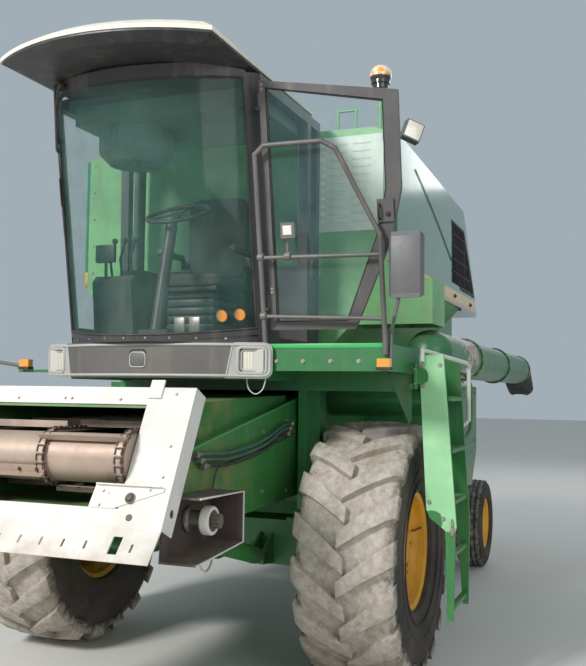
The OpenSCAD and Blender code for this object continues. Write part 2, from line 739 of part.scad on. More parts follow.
// A place on the outer face of the frame bow above the screen, Y pointing into it.
module on_bow(x, z) {
    out = screen_r + 10;
    translate([0, screen_r - screen_bulge, z]) rotate([0, 0, asin(x / out)])
        translate([0, -out - seat_gap, 0]) children();
}
wiper_x = [-420, -470];
module wipers() {
    top = screen_h + 36;
    color(dark) placed() leaning() {
        for (x = wiper_x) on_bow(x, top) rotate([90, 0, 0]) cylinder(r = 14, h = 42);
        bent_tube([[-441, -226, top], [-572, -96, screen_h - 130], [-587, -66, screen_h - 262]], 7);
        bent_tube([[-492, -192, top], [-590, -80, screen_h - 300], [-590, -57, screen_h - 322]], 8);
        rod([-585, -60.7, screen_h - 240], [-600, -44.7, screen_h - 700], 9);
    }
}
seat_z = cab_floor + 330;
seat_y = -500;
module operator_seat() {
    color(dark) placed() {
        translate([0, seat_y + 250, cab_floor + seat_gap]) cylinder(r = 110, h = 60);
        box([-170, seat_y + 70, cab_floor + 60], [170, seat_y + 430, seat_z]);
        hull() {
            box([-240, seat_y, seat_z], [240, seat_y + 470, seat_z + 70]);
            box([-220, seat_y + 20, seat_z + 70], [220, seat_y + 450, seat_z + 110]);
        }
        hull() {
            box([-225, seat_y + 410, seat_z + 70], [225, seat_y + 500, seat_z + 110]);
            box([-190, seat_y + 460, seat_z + 630], [190, seat_y + 510, seat_z + 670]);
        }
        for (x = [-285, 240]) box([x, seat_y + 120, seat_z + 230], [x + 45, seat_y + 440, seat_z + 280]);
        for (x = [-270, 190]) box([x, seat_y + 420, seat_z + 170], [x + 80, seat_y + 450, seat_z + 260]);
    }
}
wheel_c = [0, -600, cab_floor + 775];
column_top = wheel_c - [0, 80, 85];
wheel_r = 195;
module steering_column() {
    color(dark) placed() {
        rod([0, bar_y, cab_floor + 14], column_top, 36);
        box([-95, bar_y - 33, cab_floor + seat_gap], [95, bar_y + 47, cab_floor + 40]);
        rod(column_top, wheel_c + [0, 6, 4], 22);
        translate(wheel_c) rotate([25, 0, 0]) {
            rotate_extrude($fn = 64) translate([wheel_r, 0]) circle(13, $fn = 24);
            for (a = [90, 210, 330]) rotate([0, 0, a]) translate([0, -14, -5]) cube([wheel_r - 5, 28, 10]);
            translate([0, 0, -12]) cylinder(r = 45, h = 26);
        }
    }
}
console_top = cab_floor + 410;
lever_x = -400;
module control_console() {
    color(dark) placed() {
        side_plate(-cab_half + post + 15, -330, [
            [-560, cab_floor + seat_gap], [-600, console_top - 40], [-560, console_top],
            [0, console_top + 50], [0, cab_floor + seat_gap]]);
        for (x = [lever_x, lever_x - 75, lever_x - 150]) {
            bent_tube([
                [x, -470, console_top - 5], [x, -500, console_top + 120],
                [x - 20, -420, console_top + 240]], 8);
            translate([x - 20, -420, console_top + 252]) sphere(r = 20, $fn = 24);
        }
        box([lever_x - 190, -320, console_top + 10], [lever_x - 20, -120, console_top + 70]);
    }
}
fan_at = [-335, -560];
fan_r = 230;
module fan_housing() {
    top = rail_low - 15 - seat_gap;
    color(dark) placed() {
        box([-620, -820, top - 120], [620, -120, top]);
        translate([fan_at.x, fan_at.y, top - 270]) cylinder(r = fan_r, h = 151);
        translate([fan_at.x, fan_at.y, top - 330]) cylinder(r1 = fan_r - 60, r2 = fan_r, h = 61);
    }
}

// Platform, rails and ladder
platform_front = -820;
platform_t = 24;
beam_low = 1852;
beam_t = 20;
brace_y = -300;
module platform() {
    under = platform_z - platform_t;
    color(green) placed() {
        box([cab_half + seat_gap, platform_front, under], [platform_out, tank_front - seat_gap, platform_z]);
        box([cab_half + 30, platform_front, beam_low], [platform_out, platform_front + beam_t, under]);
        box([platform_out - beam_t, platform_front + beam_t, beam_low],
            [platform_out, tank_front - seat_gap, under]);
        box([cab_half + 12, brace_y, under - 231], [1340, brace_y + 50, under]);
        box([cab_half + 12, 80, beam_low], [platform_out - beam_t, tank_front - seat_gap, under]);
        front_plate(brace_y - 10, brace_y, [
            [1260, beam_low], [platform_out, beam_low], [platform_out, 1590], [1390, 1560]]);
        both_sides() box([cab_half - 90, -700, 1800], [cab_half - 20, mouth_y - seat_gap, deck_z]);
        box([-cab_half + 20, -720, 1800], [cab_half - 20, -640, deck_z]);
        box([cab_half - 21, brace_y, 1800], [cab_half + 13, brace_y + 50, 1860]);
        for (z = ladder_hinge_z) ladder_eye(z);
        box([-1010, -800, marker_z - 16], [-cab_half + 80, -740, marker_z]);
        box([-cab_half + 60, -760, marker_z - 16], [-cab_half + 90, -700, marker_z]);
    }
}
rail_y = -850;
rail_x0 = 698;
rail_x1 = 1391;
rail_foot = (screen_foot_z - nose_z - rail_r * sin(screen_lean)) / cos(screen_lean);
module handrails() {
    color(grey) placed() leaning(rail_y) {
        bent_tube([
            [rail_x0, 0, -rail_foot], [rail_x0, 0, 30], [rail_x0 - 4, 0, 955], [750, 0, 1000], [1085, 0, 995],
            [1160, 0, 950], [rail_x1 - 6, 0, 485], [rail_x1, 0, -60], [rail_x1, -9.8, -150]], rail_r);
        rod([rail_x0, 0, 390], [rail_x1 + 1, 0, 380], rail_r - 3);
        rod([rail_x0, 0, 65], [rail_x1 - 1, 0, 40], rail_r - 3);
        rod([860, 0, 390], [864, 0, 570], rail_r - 5);
    }
}
mirror_left = [1530, -960, 2400];
mirror_right = [overall_half - 98, -720, 2430];
arm_r = 10;
module mirrors() {
    foot_x = platform_out + arm_r + seat_gap;
    color(dark) placed() {
        mirror_head(mirror_left, 186, 345);
        bent_tube([
            [foot_x, platform_front + 10, marker_z + 14], [foot_x, platform_front + 10, marker_z + 204],
            [mirror_left.x - 60, mirror_left.y + 25, mirror_left.z - 260], mirror_left + [0, 15, 20]], arm_r);
        mirror([1, 0, 0]) {
            mirror_head(mirror_right, 196, 370);
            bent_tube([mirror_right + [0, 15, 20], mirror_right + [-32, 15, -480],
                [940, -770, marker_z + arm_r + 2 + seat_gap]], arm_r + 2);
        }
        leaning(rail_y) translate([840, -39.3, 490]) cube([80, 30, 85]);
    }
}
// Mirror with a rounded back: at its front face's centre, with its width and height
module mirror_head(at, w, h) {
    translate(at) hull() {
        translate([-w / 2 + 16, 0, -h / 2]) cube([w - 32, 14, h]);
        translate([-w / 2, 20, -h / 2 + 17]) cube([w, 8, h - 34]);
    }
}
ladder_top = 1958;
fold_z = 965;
stringer_t = 22;
step_n = 5;
step_rise = 296;
step_t = 22;
ladder_axis = [platform_out + 33, ladder_y - 2];
ladder_hinge_r = 14;
ladder_hinge_z = [1760, 1880];
ladder_in = ladder_axis.x + ladder_hinge_r + run_gap;
ladder_out = overall_half - 5;
eye_h = 30;
// Fixed eye of the ladder hinge on the platform's gusset
module ladder_eye(z) {
    translate([ladder_axis.x, ladder_axis.y, z]) cylinder(r = ladder_hinge_r, h = eye_h);
    box([platform_out - 1, ladder_axis.y - 8, z], [ladder_axis.x, brace_y, z + eye_h]);
}
// White grab rail of the ladder
grab_r = 13;
grab_off = grab_r * 1.05 + seat_gap;
grab_back = ladder_y + ladder_w + grab_off;
grab_x = [1480, ladder_out - 20];
module ladder_rail() {
    color(bleached) placed() bent_tube([
        [grab_x[0], ladder_y - grab_off, ladder_top - 38], [grab_x[0], ladder_y - grab_off, ladder_top + 27],
        [grab_x[1], ladder_y + 410, ladder_top - 33], [grab_x[1], grab_back, ladder_top - 53],
        [grab_x[1], grab_back, 1575], [1590, grab_back, 1512], [1545, grab_back, 1500]], grab_r);
}
// Front view outlines of the wide plate and of the folding lower end, as [x, z] points
module ladder() {
    low_x = [ladder_out - 52, ladder_out - 18];
    rear_x = ladder_in + 40;
    color(light_green) placed() {
        front_plate(ladder_y, ladder_y + stringer_t, [
            [ladder_in, ladder_top], [1600, ladder_top], [ladder_out, fold_z + 20],
            [ladder_out - 8, fold_z - 5],
            [low_x[1], ladder_low], [low_x[0], ladder_low], [low_x[0] - 12, fold_z],
            [low_x[0] - 52, 995], [low_x[0] - 100, 1030], [1502, 1080]]);
        front_plate(ladder_y + ladder_w - stringer_t, ladder_y + ladder_w, [
            [rear_x, ladder_top], [1600, ladder_top], [ladder_out - 10, 980], [low_x[1], ladder_low],
            [low_x[0], ladder_low], [1590, 960], [1500, 1130]]);
        for (i = [0 : step_n - 1]) ladder_step(ladder_low + 46 + i * step_rise, low_x[0] - 7, rear_x);
        low = ladder_hinge_z[0] + eye_h + seat_gap;
        high = ladder_hinge_z[1] - seat_gap;
        translate([ladder_axis.x, ladder_axis.y, low]) cylinder(r = ladder_hinge_r, h = high - low);
        box([ladder_axis.x, ladder_axis.y - 8, low], [rear_x, ladder_y + 5, high]);
    }
}
// One step at height z, between the two stringers
module ladder_step(z, low_x, rear_x) {
    x = z < 900 ? low_x : 1500 + (z - 1130) * (rear_x - 1500) / 830;
    box([x, ladder_y + stringer_t - 1, z],
        [min(x + 150, 1650), ladder_y + ladder_w - stringer_t + 1, z + step_t]);
}

// Wheels. Outline points of a tyre and a rim are [radius, x], x as a share of the width in the bead.
function bead(b, w) = [
    [b + 30, -w * 0.44], [b + 24.3, -w * 0.359], [b + 6, -w * 0.334], [b + 6, -w * 0.28]];
function mirrored(points) = [for (i = [len(points) - 1 : -1 : 0]) [points[i].x, -points[i].y]];
module tyre_body(d, w, rim_d, crown) {
    r = d / 2;
    b = rim_d / 2;
    wall = r - b;
    half = concat(
        [[r - crown, 0], [r - crown * 1.35, -w * 0.40], [b + wall * 0.80, -w * 0.475],
         [b + wall * 0.55, -w * 0.5], [b + wall * 0.35, -w * 0.49]],
        bead(b, w), [[b + 70, -w * 0.36]]);
    rotate([0, 90, 0]) rotate_extrude($fn = 72) polygon(concat(half, mirrored([for (i = [1 : 9]) half[i]])));
}
// One side's lugs: bars that run from the crown down the shoulder.
lug_run = 200;
lug_nose = 20;
lug_root = 640;
module lugs(side) {
    reach = front_tyre_w / 2;
    half = lug_w / 2;
    nose = -lug_run / 2;
    for (i = [0 : lug_count - 1]) rotate([(i + (side > 0 ? 0.5 : 0)) * 360 / lug_count, 0, 0])
        translate([0, 0, lug_root]) linear_extrude(front_tyre_d / 2 - lug_root + 10) polygon([
            [-side * lug_nose, nose - half], [side * reach * 0.5, 10 - half],
            [side * reach, lug_run / 2 - half * 1.15], [side * reach, lug_run / 2 + half * 1.15],
            [side * reach * 0.5, 10 + half],
            [-side * lug_nose, nose + half * 0.6]]);
}
// Space that the lugs fill: rounded over the crown, sloped at the shoulders
module lug_space() {
    r = front_tyre_d / 2;
    half = front_tyre_w / 2;
    rotate([0, 90, 0]) rotate_extrude($fn = 72) polygon([
        [lug_root - 30, -half], [r - 46, -half], [r - 13, -half * 0.84], [r, -half * 0.2],
        [r, half * 0.2], [r - 13, half * 0.84], [r - 46, half], [lug_root - 30, half]]);
}
module drive_tyre() {
    color(tread) {
        tyre_body(front_tyre_d, front_tyre_w, front_rim_d, lug_h);
        intersection() {
            lug_space();
            for (side = [-1, 1]) lugs(side);
        }
    }
}
module wheel_rim(d, w, out, hub_r, bolts, pcd) {
    b = d / 2;
    face = out + disc_t / 2;
    back = out - disc_t / 2;
    inner = [[b - 6, w * 0.37], [b - 14, w * 0.29], [b - 40, w * 0.20]];
    outer = [
        [b - 30, w * 0.22], [b - 2, w * 0.30], [b + 5.7, w * 0.335], [b + rim_flange, w * 0.36],
        [b + rim_flange, w * 0.39]];
    color(yellow) difference() {
        rotate([0, 90, 0]) rotate_extrude($fn = 72) {
            polygon(concat(inner, mirrored(inner), mirrored(outer), outer));
            polygon([
                [b - 30.5, face + 6], [hub_r + 20, face + 20], [hub_r, face], [0.01, face], [0.01, back],
                [hub_r, back], [hub_r + 20, back + 20], [b - 30.5, back + 6]]);
        }
        for (i = [0 : bolts - 1]) rotate([i * 360 / bolts, 0, 0])
            translate([out - 60, 0, pcd / 2]) rotate([0, 90, 0]) cylinder(r = 11, h = 120, $fn = 24);
    }
}
module at_front(side) { placed() translate([side * front_track_half, 0, wheel_z]) children(); }
module drive_rim() { wheel_rim(front_rim_d, front_tyre_w, front_disc_x, 150, 8, 222); }
module front_left_tyre() { at_front(1) drive_tyre(); }
module front_right_tyre() { at_front(-1) mirror([1, 0, 0]) drive_tyre(); }
module front_left_rim() { at_front(1) drive_rim(); }
module front_right_rim() { at_front(-1) mirror([1, 0, 0]) drive_rim(); }

rear_disc_x = 32;
ring_n = 5;
ring_pitch = 0.17;
groove_d = 16;
ring_edge = [[0.32, -groove_d], [0.28, 0], [-0.28, 0], [-0.32, -groove_d]];
// Ribbed crown of a steered tyre, as [radius, x] points
function rings(r, w) = [for (i = [0 : ring_n - 1], e = ring_edge)
    let (at = (ring_n - 1) / 2 - i) [r - abs(at) * 3 + e.y, (at + e.x) * w * ring_pitch]];
module steer_tyre() {
    r = rear_tyre_d / 2;
    w = rear_tyre_w;
    b = rear_rim_d / 2;
    left = concat(
        [[r - 35, -w * 0.46], [b + 110, -w * 0.5], [b + 60, -w * 0.49]], bead(b, w), [[b + 50, -w * 0.36]]);
    color(dark) rotate([0, 90, 0]) rotate_extrude($fn = 72)
        polygon(concat(left, mirrored(left), rings(r, w)));
}
module steer_rim() { wheel_rim(rear_rim_d, rear_tyre_w, rear_disc_x, 80, 6, 120); }
module at_rear(side) { placed() translate([side * rear_track_half, wheelbase, rear_wheel_z]) children(); }
module rear_left_tyre() { at_rear(1) steer_tyre(); }
module rear_right_tyre() { at_rear(-1) steer_tyre(); }
module rear_left_rim() { at_rear(1) steer_rim(); }
module rear_right_rim() { at_rear(-1) mirror([1, 0, 0]) steer_rim(); }

// Steered axle
beam_end = kingpin_x - 30;
beam_half = 75;
eye_low = rear_wheel_z - 52;
eye_high = rear_wheel_z + 72;
axle_pin_r = swing_r - 0.05;
axle_pin_half = 158;
module at_kingpin(z) { translate([kingpin_x, wheelbase, z]) children(); }
module rear_axle() {
    color(green) placed() {
        difference() {
            union() {
                front_plate(wheelbase - beam_half, wheelbase + beam_half, [
                    [-beam_end, eye_low], [-700, eye_low], [-160, 520], [160, 520], [700, eye_low],
                    [beam_end, eye_low], [beam_end, eye_high], [660, eye_high], [130, 690], [-130, 690],
                    [-660, eye_high], [-beam_end, eye_high]]);
                both_sides() at_kingpin(eye_low) cylinder(r = 58, h = eye_high - eye_low);
            }
            both_sides() at_kingpin(eye_low - 1) cylinder(r = kingpin_r + 0.05, h = eye_high - eye_low + 2);
        }
        translate([0, wheelbase - axle_pin_half, swing_z]) rotate([-90, 0, 0])
            cylinder(r = axle_pin_r, h = 2 * axle_pin_half);
    }
}
knuckle_out = 902;
pin_h = 34;
yoke_gap = 4;
yoke_half = 46;
yoke_low = eye_low - yoke_gap - pin_h;
yoke_high = eye_high + yoke_gap;
arm_t = 24;
rod_pin_r = 12;
module at_rod_eye(z) { translate([kingpin_x, wheelbase + steer_arm, z]) children(); }
// Knuckle of the left side: yoke, kingpin, spindle and steering arm
module knuckle() {
    spindle_out = rear_track_half + rear_disc_x - disc_t / 2 - seat_gap;
    difference() {
        union() {
            for (z = [yoke_low, yoke_high]) hull() {
                at_kingpin(z) cylinder(r = yoke_half, h = pin_h);
                translate([knuckle_out + 10, wheelbase - yoke_half, z]) cube([8, 2 * yoke_half, pin_h]);
            }
            box([knuckle_out + 8, wheelbase - yoke_half, yoke_low],
                [knuckle_out + 30, wheelbase + yoke_half, yoke_high + pin_h]);
            at_kingpin(yoke_low) cylinder(r = kingpin_r, h = yoke_high + pin_h - yoke_low);
            x_shaft(knuckle_out + 28, spindle_out, wheelbase, rear_wheel_z, 34);
            hull() {
                at_kingpin(yoke_low) cylinder(r = 34, h = arm_t);
                at_rod_eye(yoke_low) cylinder(r = 26, h = arm_t);
            }
        }
        at_rod_eye(yoke_low - 1) cylinder(r = rod_pin_r + 0.05, h = arm_t + 2);
    }
}
module left_knuckle() { color(green) placed() knuckle(); }
module right_knuckle() { color(green) placed() mirror([1, 0, 0]) knuckle(); }
rod_eye_h = 41;
module tie_rod() {
    low = yoke_low - 5 - rod_eye_h;
    pin_len = rod_eye_h + 5 + arm_t + 8;
    color(grey) placed() {
        x_shaft(-kingpin_x, kingpin_x, wheelbase + steer_arm, low + 22, 17);
        both_sides() at_rod_eye(low) cylinder(r = 28, h = rod_eye_h);
        at_rod_eye(low) cylinder(r = rod_pin_r, h = pin_len);
        mirror([1, 0, 0]) at_rod_eye(low) cylinder(r = rod_pin_r - 0.5, h = pin_len);
    }
}

// Feeder house. Space on the front frame: origin at its top edge, Z up along it, Y to its back.
frame_top_y = -1646;
module on_frame() { translate([0, frame_top_y, frame_top_z]) rotate([-frame_lean, 0, 0]) children(); }
function side_line(y, y0, z0, slope) = [y, z0 + (y - y0) * tan(slope)];
top_slope = 9.7;
low_slope = 1.6;
side_front = -2300;
function feeder_top(y) = side_line(y, -1310, 1480, top_slope);
function feeder_low(y) = side_line(y, -1030, 1055, low_slope);
module feeder_side(x0, x1) {
    translate([x0, 0, 0]) rotate([90, 0, 90]) linear_extrude(x1 - x0) hull() {
        translate([feeder_pivot_y, feeder_pivot_z]) circle(feeder_back_r, $fn = 96);
        polygon([feeder_top(side_front), feeder_low(side_front), feeder_low(0), feeder_top(0)]);
    }
}
tunnel_half = 540;
trunnion_r = 45;
// Side view outlines of the tunnel's roof, of its inside and of the open underside
module feeder_house() {
    color(green) placed() {
        difference() {
            union() {
                feeder_side(-feeder_half, feeder_half);
                side_plate(-tunnel_half - feeder_t, tunnel_half + feeder_t, [
                    [side_front, 1640], [-700, 1700], [-160, 1712], [-160, 1500], [side_front, 1250]]);
            }
            on_frame() translate([-2000, -1500, -1600]) cube([4000, 1500 + frame_t + seat_gap, 3200]);
            side_plate(-tunnel_half, tunnel_half, [
                [-2400, 1260], [-2400, 1625], [-700, 1688], [-170, 1700], [-170, 1640],
                [feeder_pivot_y + 180, 1640], [feeder_pivot_y + 280, feeder_pivot_z],
                [feeder_pivot_y + 180, 1180], [-1960, 1185]]);
            side_plate(-feeder_half + feeder_t, feeder_half - feeder_t, [
                [-2400, 900], feeder_low(-2400) + [0, -1], feeder_low(-200) + [0, -1],
                feeder_low(-200) + [0, 60], [-1700, 1110], [-2400, 1110]]);
        }
        both_sides() {
            for (x = [lift_x - ear_x, lift_x + ear_x]) side_plate(x - ear_t / 2, x + ear_t / 2, [
                [lift_eye.x - 90, 1145], lift_eye + [-40, -40], lift_eye + [40, -40],
                [lift_eye.x + 90, 1145]]);
            x_shaft(lift_x - pin_end, lift_x + pin_end, lift_eye.x, lift_eye.y, lift_pin_r);
            x_shaft(tunnel_half, feeder_half + 25 - seat_gap, feeder_pivot_y, feeder_pivot_z, trunnion_r);
        }
    }
}
plate_in = 455;
plate_h = 695;
band_h = 85;
frame_d = 105;
beam_h = 92;
lock_r = 20;
lock_at = [60, -600];
lip_run = 172;
lip_lean = 40.8;
lip = [-lip_run * sin(lip_lean - frame_lean), -lip_run * cos(lip_lean - frame_lean)];
slot_half = 590;
slot_pitch = 118;
pocket_x = 505;
module front_plate_frame() {
    color(bleached) placed() on_frame() {
        translate([-frame_half, 0, -beam_h]) cube([2 * frame_half, frame_t, beam_h]);
        translate([-frame_half, 0, -frame_t]) cube([2 * frame_half, frame_d, frame_t]);
        both_sides() {
            translate([plate_in, 0, -plate_h + band_h - 1])
                cube([frame_half - plate_in, frame_t, plate_h - band_h - beam_h + 2]);
            difference() {
                translate([frame_half - frame_t, 0, -plate_h + 1]) cube([frame_t, frame_d, plate_h - 2]);
                translate([frame_half - frame_t - 1, lock_at.x, lock_at.y]) rotate([0, 90, 0])
                    cylinder(r = lock_r, h = frame_t + 2);
            }
            gusset();
        }
        difference() {
            side_plate(-frame_half, frame_half, [
                [0, -plate_h + band_h], [frame_t, -plate_h + band_h], [frame_t, -plate_h],
                [lip.x + frame_t, lip.y - plate_h], [lip.x, lip.y - plate_h], [0, -plate_h]]);
            for (x = [-slot_half : slot_pitch : slot_half]) if (abs(abs(x) - pocket_x) > 45)
                translate([x - 6, -60, -plate_h - 115]) cube([12, 80, 40]);
            for (x = [-pocket_x, pocket_x]) translate([x - 24, -60, -plate_h - 130]) cube([48, 80, 86]);
        }
        for (x = [-490, 490]) translate([x - 36, -10, -60]) cube([72, 11, 95]);
    }
}
// Corner gusset with its folded top edge
module gusset() {
    gusset_top = -500;
    rotate([90, 0, 0]) linear_extrude(6)
        polygon([[310, gusset_top], [668, gusset_top], [668, -522], [430, -612], [300, -612]]);
    translate([318, -22, gusset_top - 6]) cube([340, 22, 6]);
}
drum_c = [-1752, 1412];
shaft_c = [feeder_pivot_y, feeder_pivot_z];
chain_r = drum_r + 16;
slat_n = 14;
drum_half = plate_in - 5;
run_len = norm(shaft_c - drum_c);
run_tilt = atan2(shaft_c.y - drum_c.y, shaft_c.x - drum_c.x);
loop_len = 2 * run_len + 2 * PI * chain_r;
// Place children at distance s along the conveyor loop, X outward from it.
module on_loop(s) {
    bend = PI * chain_r;
    back = 2 * run_len + bend;
    out = [0, 0, chain_r];
    turn = 180 / (PI * chain_r);
    translate([0, drum_c.x, drum_c.y]) rotate([run_tilt, 0, 0]) {
        if (s < run_len) translate([0, s, chain_r]) children();
        else if (s < run_len + bend)
            translate([0, run_len, 0]) rotate([(run_len - s) * turn, 0, 0]) translate(out) children();
        else if (s < back) translate([0, back - s, 0]) rotate([180, 0, 0]) translate(out) children();
        else rotate([180 - (s - back) * turn, 0, 0]) translate(out) children();
    }
}
module conveyor() {
    shaft_half = tunnel_half - seat_gap;
    color(steel) placed() {
        x_shaft(-drum_half, drum_half, drum_c.x, drum_c.y, drum_r);
        x_shaft(-shaft_half, shaft_half, drum_c.x, drum_c.y, 30);
        x_shaft(-shaft_half, shaft_half, shaft_c.x, shaft_c.y, 60);
        for (x = [-strand_gap, 0, strand_gap]) {
            chain_loop(x);
            x_shaft(x - 12, x + 12, shaft_c.x, shaft_c.y, drum_r);
        }
        for (i = [0 : slat_n - 1]) {
            slat((i + 0.2) * loop_len / slat_n, -drum_half, 20);
            slat((i + 0.7) * loop_len / slat_n, -20, drum_half);
        }
    }
}
module chain_loop(x) {
    translate([x - 15, drum_c.x, drum_c.y]) rotate([run_tilt, 0, 0]) rotate([90, 0, 90]) linear_extrude(30)
        difference() {
            hull() for (y = [0, run_len]) translate([y, 0]) circle(chain_r + 5, $fn = 32);
            hull() for (y = [0, run_len]) translate([y, 0]) circle(drum_r + seat_gap, $fn = 32);
        }
}
module slat(s, x0, x1) {
    on_loop(s) translate([x0, 0, 2]) rotate([90, 0, 90]) linear_extrude(x1 - x0)
        polygon([[-22, 0], [22, 0], [22, 6], [-16, 6], [-16, 34], [-22, 34]]);
}
// Open guard of the header drive with the shaft end in it
guard_out = 790;
guard_t = 6;
drive_at = [-1540, 1120];
module header_drive() {
    color(dark) placed() {
        difference() {
            side_plate(feeder_half + seat_gap, guard_out, [
                [-1768, 1250], [-1290, 1240], [-1290, 985], [-1800, 950]]);
            side_plate(feeder_half + guard_t, guard_out + 1, [
                [-1890, 1250 - guard_t], [-1290 - guard_t, 1240 - guard_t], [-1290 - guard_t, 985 + guard_t],
                [-1890, 950 + guard_t]]);
        }
        x_shaft(feeder_half + guard_t - 1, 700, drive_at.x, drive_at.y, 42);
        x_shaft(699, 745, drive_at.x, drive_at.y, 65);
        x_shaft(744, 785, drive_at.x, drive_at.y, 32);
    }
}
cyl_dir = (lift_eye - lift_foot) / norm(lift_eye - lift_foot);
cyl_len = norm(lift_eye - lift_foot);
barrel_len = 620;
eye_r = 44;
rod_eye_play = 12.3;
module cylinder_at(s0, s1, r) {
    a = lift_foot + cyl_dir * s0;
    b = lift_foot + cyl_dir * s1;
    rod([lift_x, a.x, a.y], [lift_x, b.x, b.y], r);
}
module eye_at(p, r, half) { x_shaft(lift_x - half, lift_x + half, p.x, p.y, r); }
module lift_barrels() {
    color(green) placed() both_sides() difference() {
        union() {
            cylinder_at(66, barrel_len, 52);
            cylinder_at(30, 67, 24);
            eye_at(lift_foot, eye_r + 2, eye_w / 2);
        }
        cylinder_at(90, barrel_len + 5, 38);
        eye_at(lift_foot, lift_pin_r + 0.05, eye_w);
    }
}
module lift_rods() {
    color(steel) placed() both_sides() difference() {
        union() {
            cylinder_at(360, cyl_len - 70, 32);
            cylinder_at(cyl_len - 71, cyl_len - 35, 25);
            eye_at(lift_eye, eye_r, eye_w / 2);
        }
        eye_at(lift_eye, lift_pin_r + rod_eye_play, eye_w);
    }
}

// Cab door, drawn open: local X along the door's width, Z up along the leaning hinge
hinge = [cab_half + 26, pillar_foot_y - 12];
door_t = 34;
door_h = 1370;
door_rail = 42;
door_knee = [door_w - 62, 470];
door_elbow_h = 730;
door_drop = door_w * tan(screen_lean);
module at_door() { translate([hinge.x, hinge.y, screen_foot_z]) rotate([screen_lean, 0, 0]) children(); }
// Opening of the door ring; gap makes it smaller all round, for the pane.
module door_opening(gap) {
    x_out = door_w - door_post - gap;
    low = 38 + gap;
    high = door_h - door_rail - 5 * gap;
    polygon([
        [40 + gap, low], [door_foot_w - door_rail, low], [door_knee.x - door_post - gap, door_knee.y + 10],
        [x_out, door_elbow_h], [x_out, high - door_drop], [40 + gap, high]]);
}
module door_ring() {
    difference() {
        polygon([
            [4, -6], [door_foot_w, -6], door_knee, [door_w, door_elbow_h],
            [door_w, door_h - door_drop], [4, door_h]]);
        door_opening(0);
    }
}
module door_panel(y0, y1) { translate([0, y1, 0]) rotate([90, 0, 0]) linear_extrude(y1 - y0) children(); }
module cab_door() {
    color(dark) placed() at_door() {
        difference() {
            door_panel(-door_t / 2, door_t / 2) door_ring();
            for (z = hinge_z) translate([0, 0, z - hinge_arm_t - run_gap])
                cylinder(r = hinge_r + run_gap, h = hinge_arm_t + run_gap);
        }
        translate([door_w - 130, -30, 560]) cube([90, 14, 120]);
        for (z = hinge_z) translate([0, 0, z]) cylinder(r = hinge_r, h = 70);
    }
}
module door_glass() { color(pane) placed() at_door() door_panel(-4, 4) door_opening(seat_gap); }

// Unloading auger
flange_y = [1500, 3000];
module along_tube(y0, y1, r) { rod([tube_x, y0, tube_z], [tube_x, y1, tube_z], r); }
module unloading_tube() {
    color(green) placed() {
        along_tube(tube_pivot_y, tube_end, tube_r);
        translate([tube_x, tube_pivot_y, turn_z]) cylinder(r = tube_r, h = tube_z - turn_z);
        translate([tube_x, tube_pivot_y, tube_z]) sphere(r = tube_r + 3);
        for (y = flange_y) along_tube(y, y + 40, tube_r + 14);
    }
}
// Mouth of the rubber spout, which hangs off the tube's end
module spout_mouth(run, drop, r, h) {
    translate([tube_x, tube_end + run, tube_z - drop]) rotate([40, 0, 0])
        cylinder(r = r, h = h, center = true);
}
module auger_spout() {
    color(dark) placed() difference() {
        hull() {
            along_tube(tube_end + seat_gap, tube_end + 60, tube_r + 4);
            spout_mouth(470, 200, tube_r - 10, 10);
        }
        hull() {
            along_tube(tube_end - 5, tube_end + 60, tube_r - 8);
            spout_mouth(482, 214, tube_r - 22, 30);
        }
    }
}

main_frame();
front_axle();
separator_body();
side_shields();
grain_tank();
filling_auger();
side_panels();
engine_block();
engine_hood();
air_screens();
straw_hood();
straw_chopper();
cab_frame();
windscreen();
cab_windows();
cab_roof();
roof_visor();
light_bar();
operator_seat();
steering_column();
control_console();
fan_housing();
platform();
handrails();
mirrors();
lamps();
wipers();
exhaust_stack();
front_left_tyre();
front_right_tyre();
front_left_rim();
front_right_rim();
rear_axle();
left_knuckle();
right_knuckle();
tie_rod();
rear_left_tyre();
rear_right_tyre();
rear_left_rim();
rear_right_rim();
feeder_house();
front_plate_frame();
conveyor();
header_drive();
lift_barrels();
lift_rods();
cab_door();
door_glass();
ladder();
ladder_rail();
auger_elbow();
unloading_tube();
auger_spout();
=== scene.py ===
import bpy
from math import atan2, copysign, cos, hypot, pi, radians, sin, sqrt
from mathutils import Matrix, Vector


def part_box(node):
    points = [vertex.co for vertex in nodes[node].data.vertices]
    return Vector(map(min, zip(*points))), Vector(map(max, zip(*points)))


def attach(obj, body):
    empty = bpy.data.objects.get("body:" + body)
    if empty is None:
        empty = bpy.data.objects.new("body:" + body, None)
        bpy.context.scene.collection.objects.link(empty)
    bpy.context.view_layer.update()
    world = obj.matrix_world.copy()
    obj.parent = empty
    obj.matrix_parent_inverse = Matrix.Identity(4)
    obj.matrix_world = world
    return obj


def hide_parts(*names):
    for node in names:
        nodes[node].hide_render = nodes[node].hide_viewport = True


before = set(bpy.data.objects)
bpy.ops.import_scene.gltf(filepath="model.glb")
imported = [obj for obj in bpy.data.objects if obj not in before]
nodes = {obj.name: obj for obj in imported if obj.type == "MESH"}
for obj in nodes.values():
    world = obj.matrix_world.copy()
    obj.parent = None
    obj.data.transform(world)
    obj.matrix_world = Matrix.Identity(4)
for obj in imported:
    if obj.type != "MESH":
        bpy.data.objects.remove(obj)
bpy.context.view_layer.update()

# Camera, floor and light. The eye stands low in front of the machine's left
# drive wheel, over a plain pale floor, under soft studio light from the front.
front_axle_y = -1.5815
bpy.ops.object.select_all(action="DESELECT")
bpy.ops.object.camera_add(
    location=(2.649, front_axle_y - 5.367, 1.743),
    rotation=[radians(a) for a in (93.739, -0.702, 21.451)])
camera = bpy.context.object
camera.data.sensor_width = 36.0
camera.data.lens = 47.75
camera.data.clip_end = 300.0
bpy.context.scene.camera = camera
bpy.context.scene.view_settings.view_transform = "Standard"

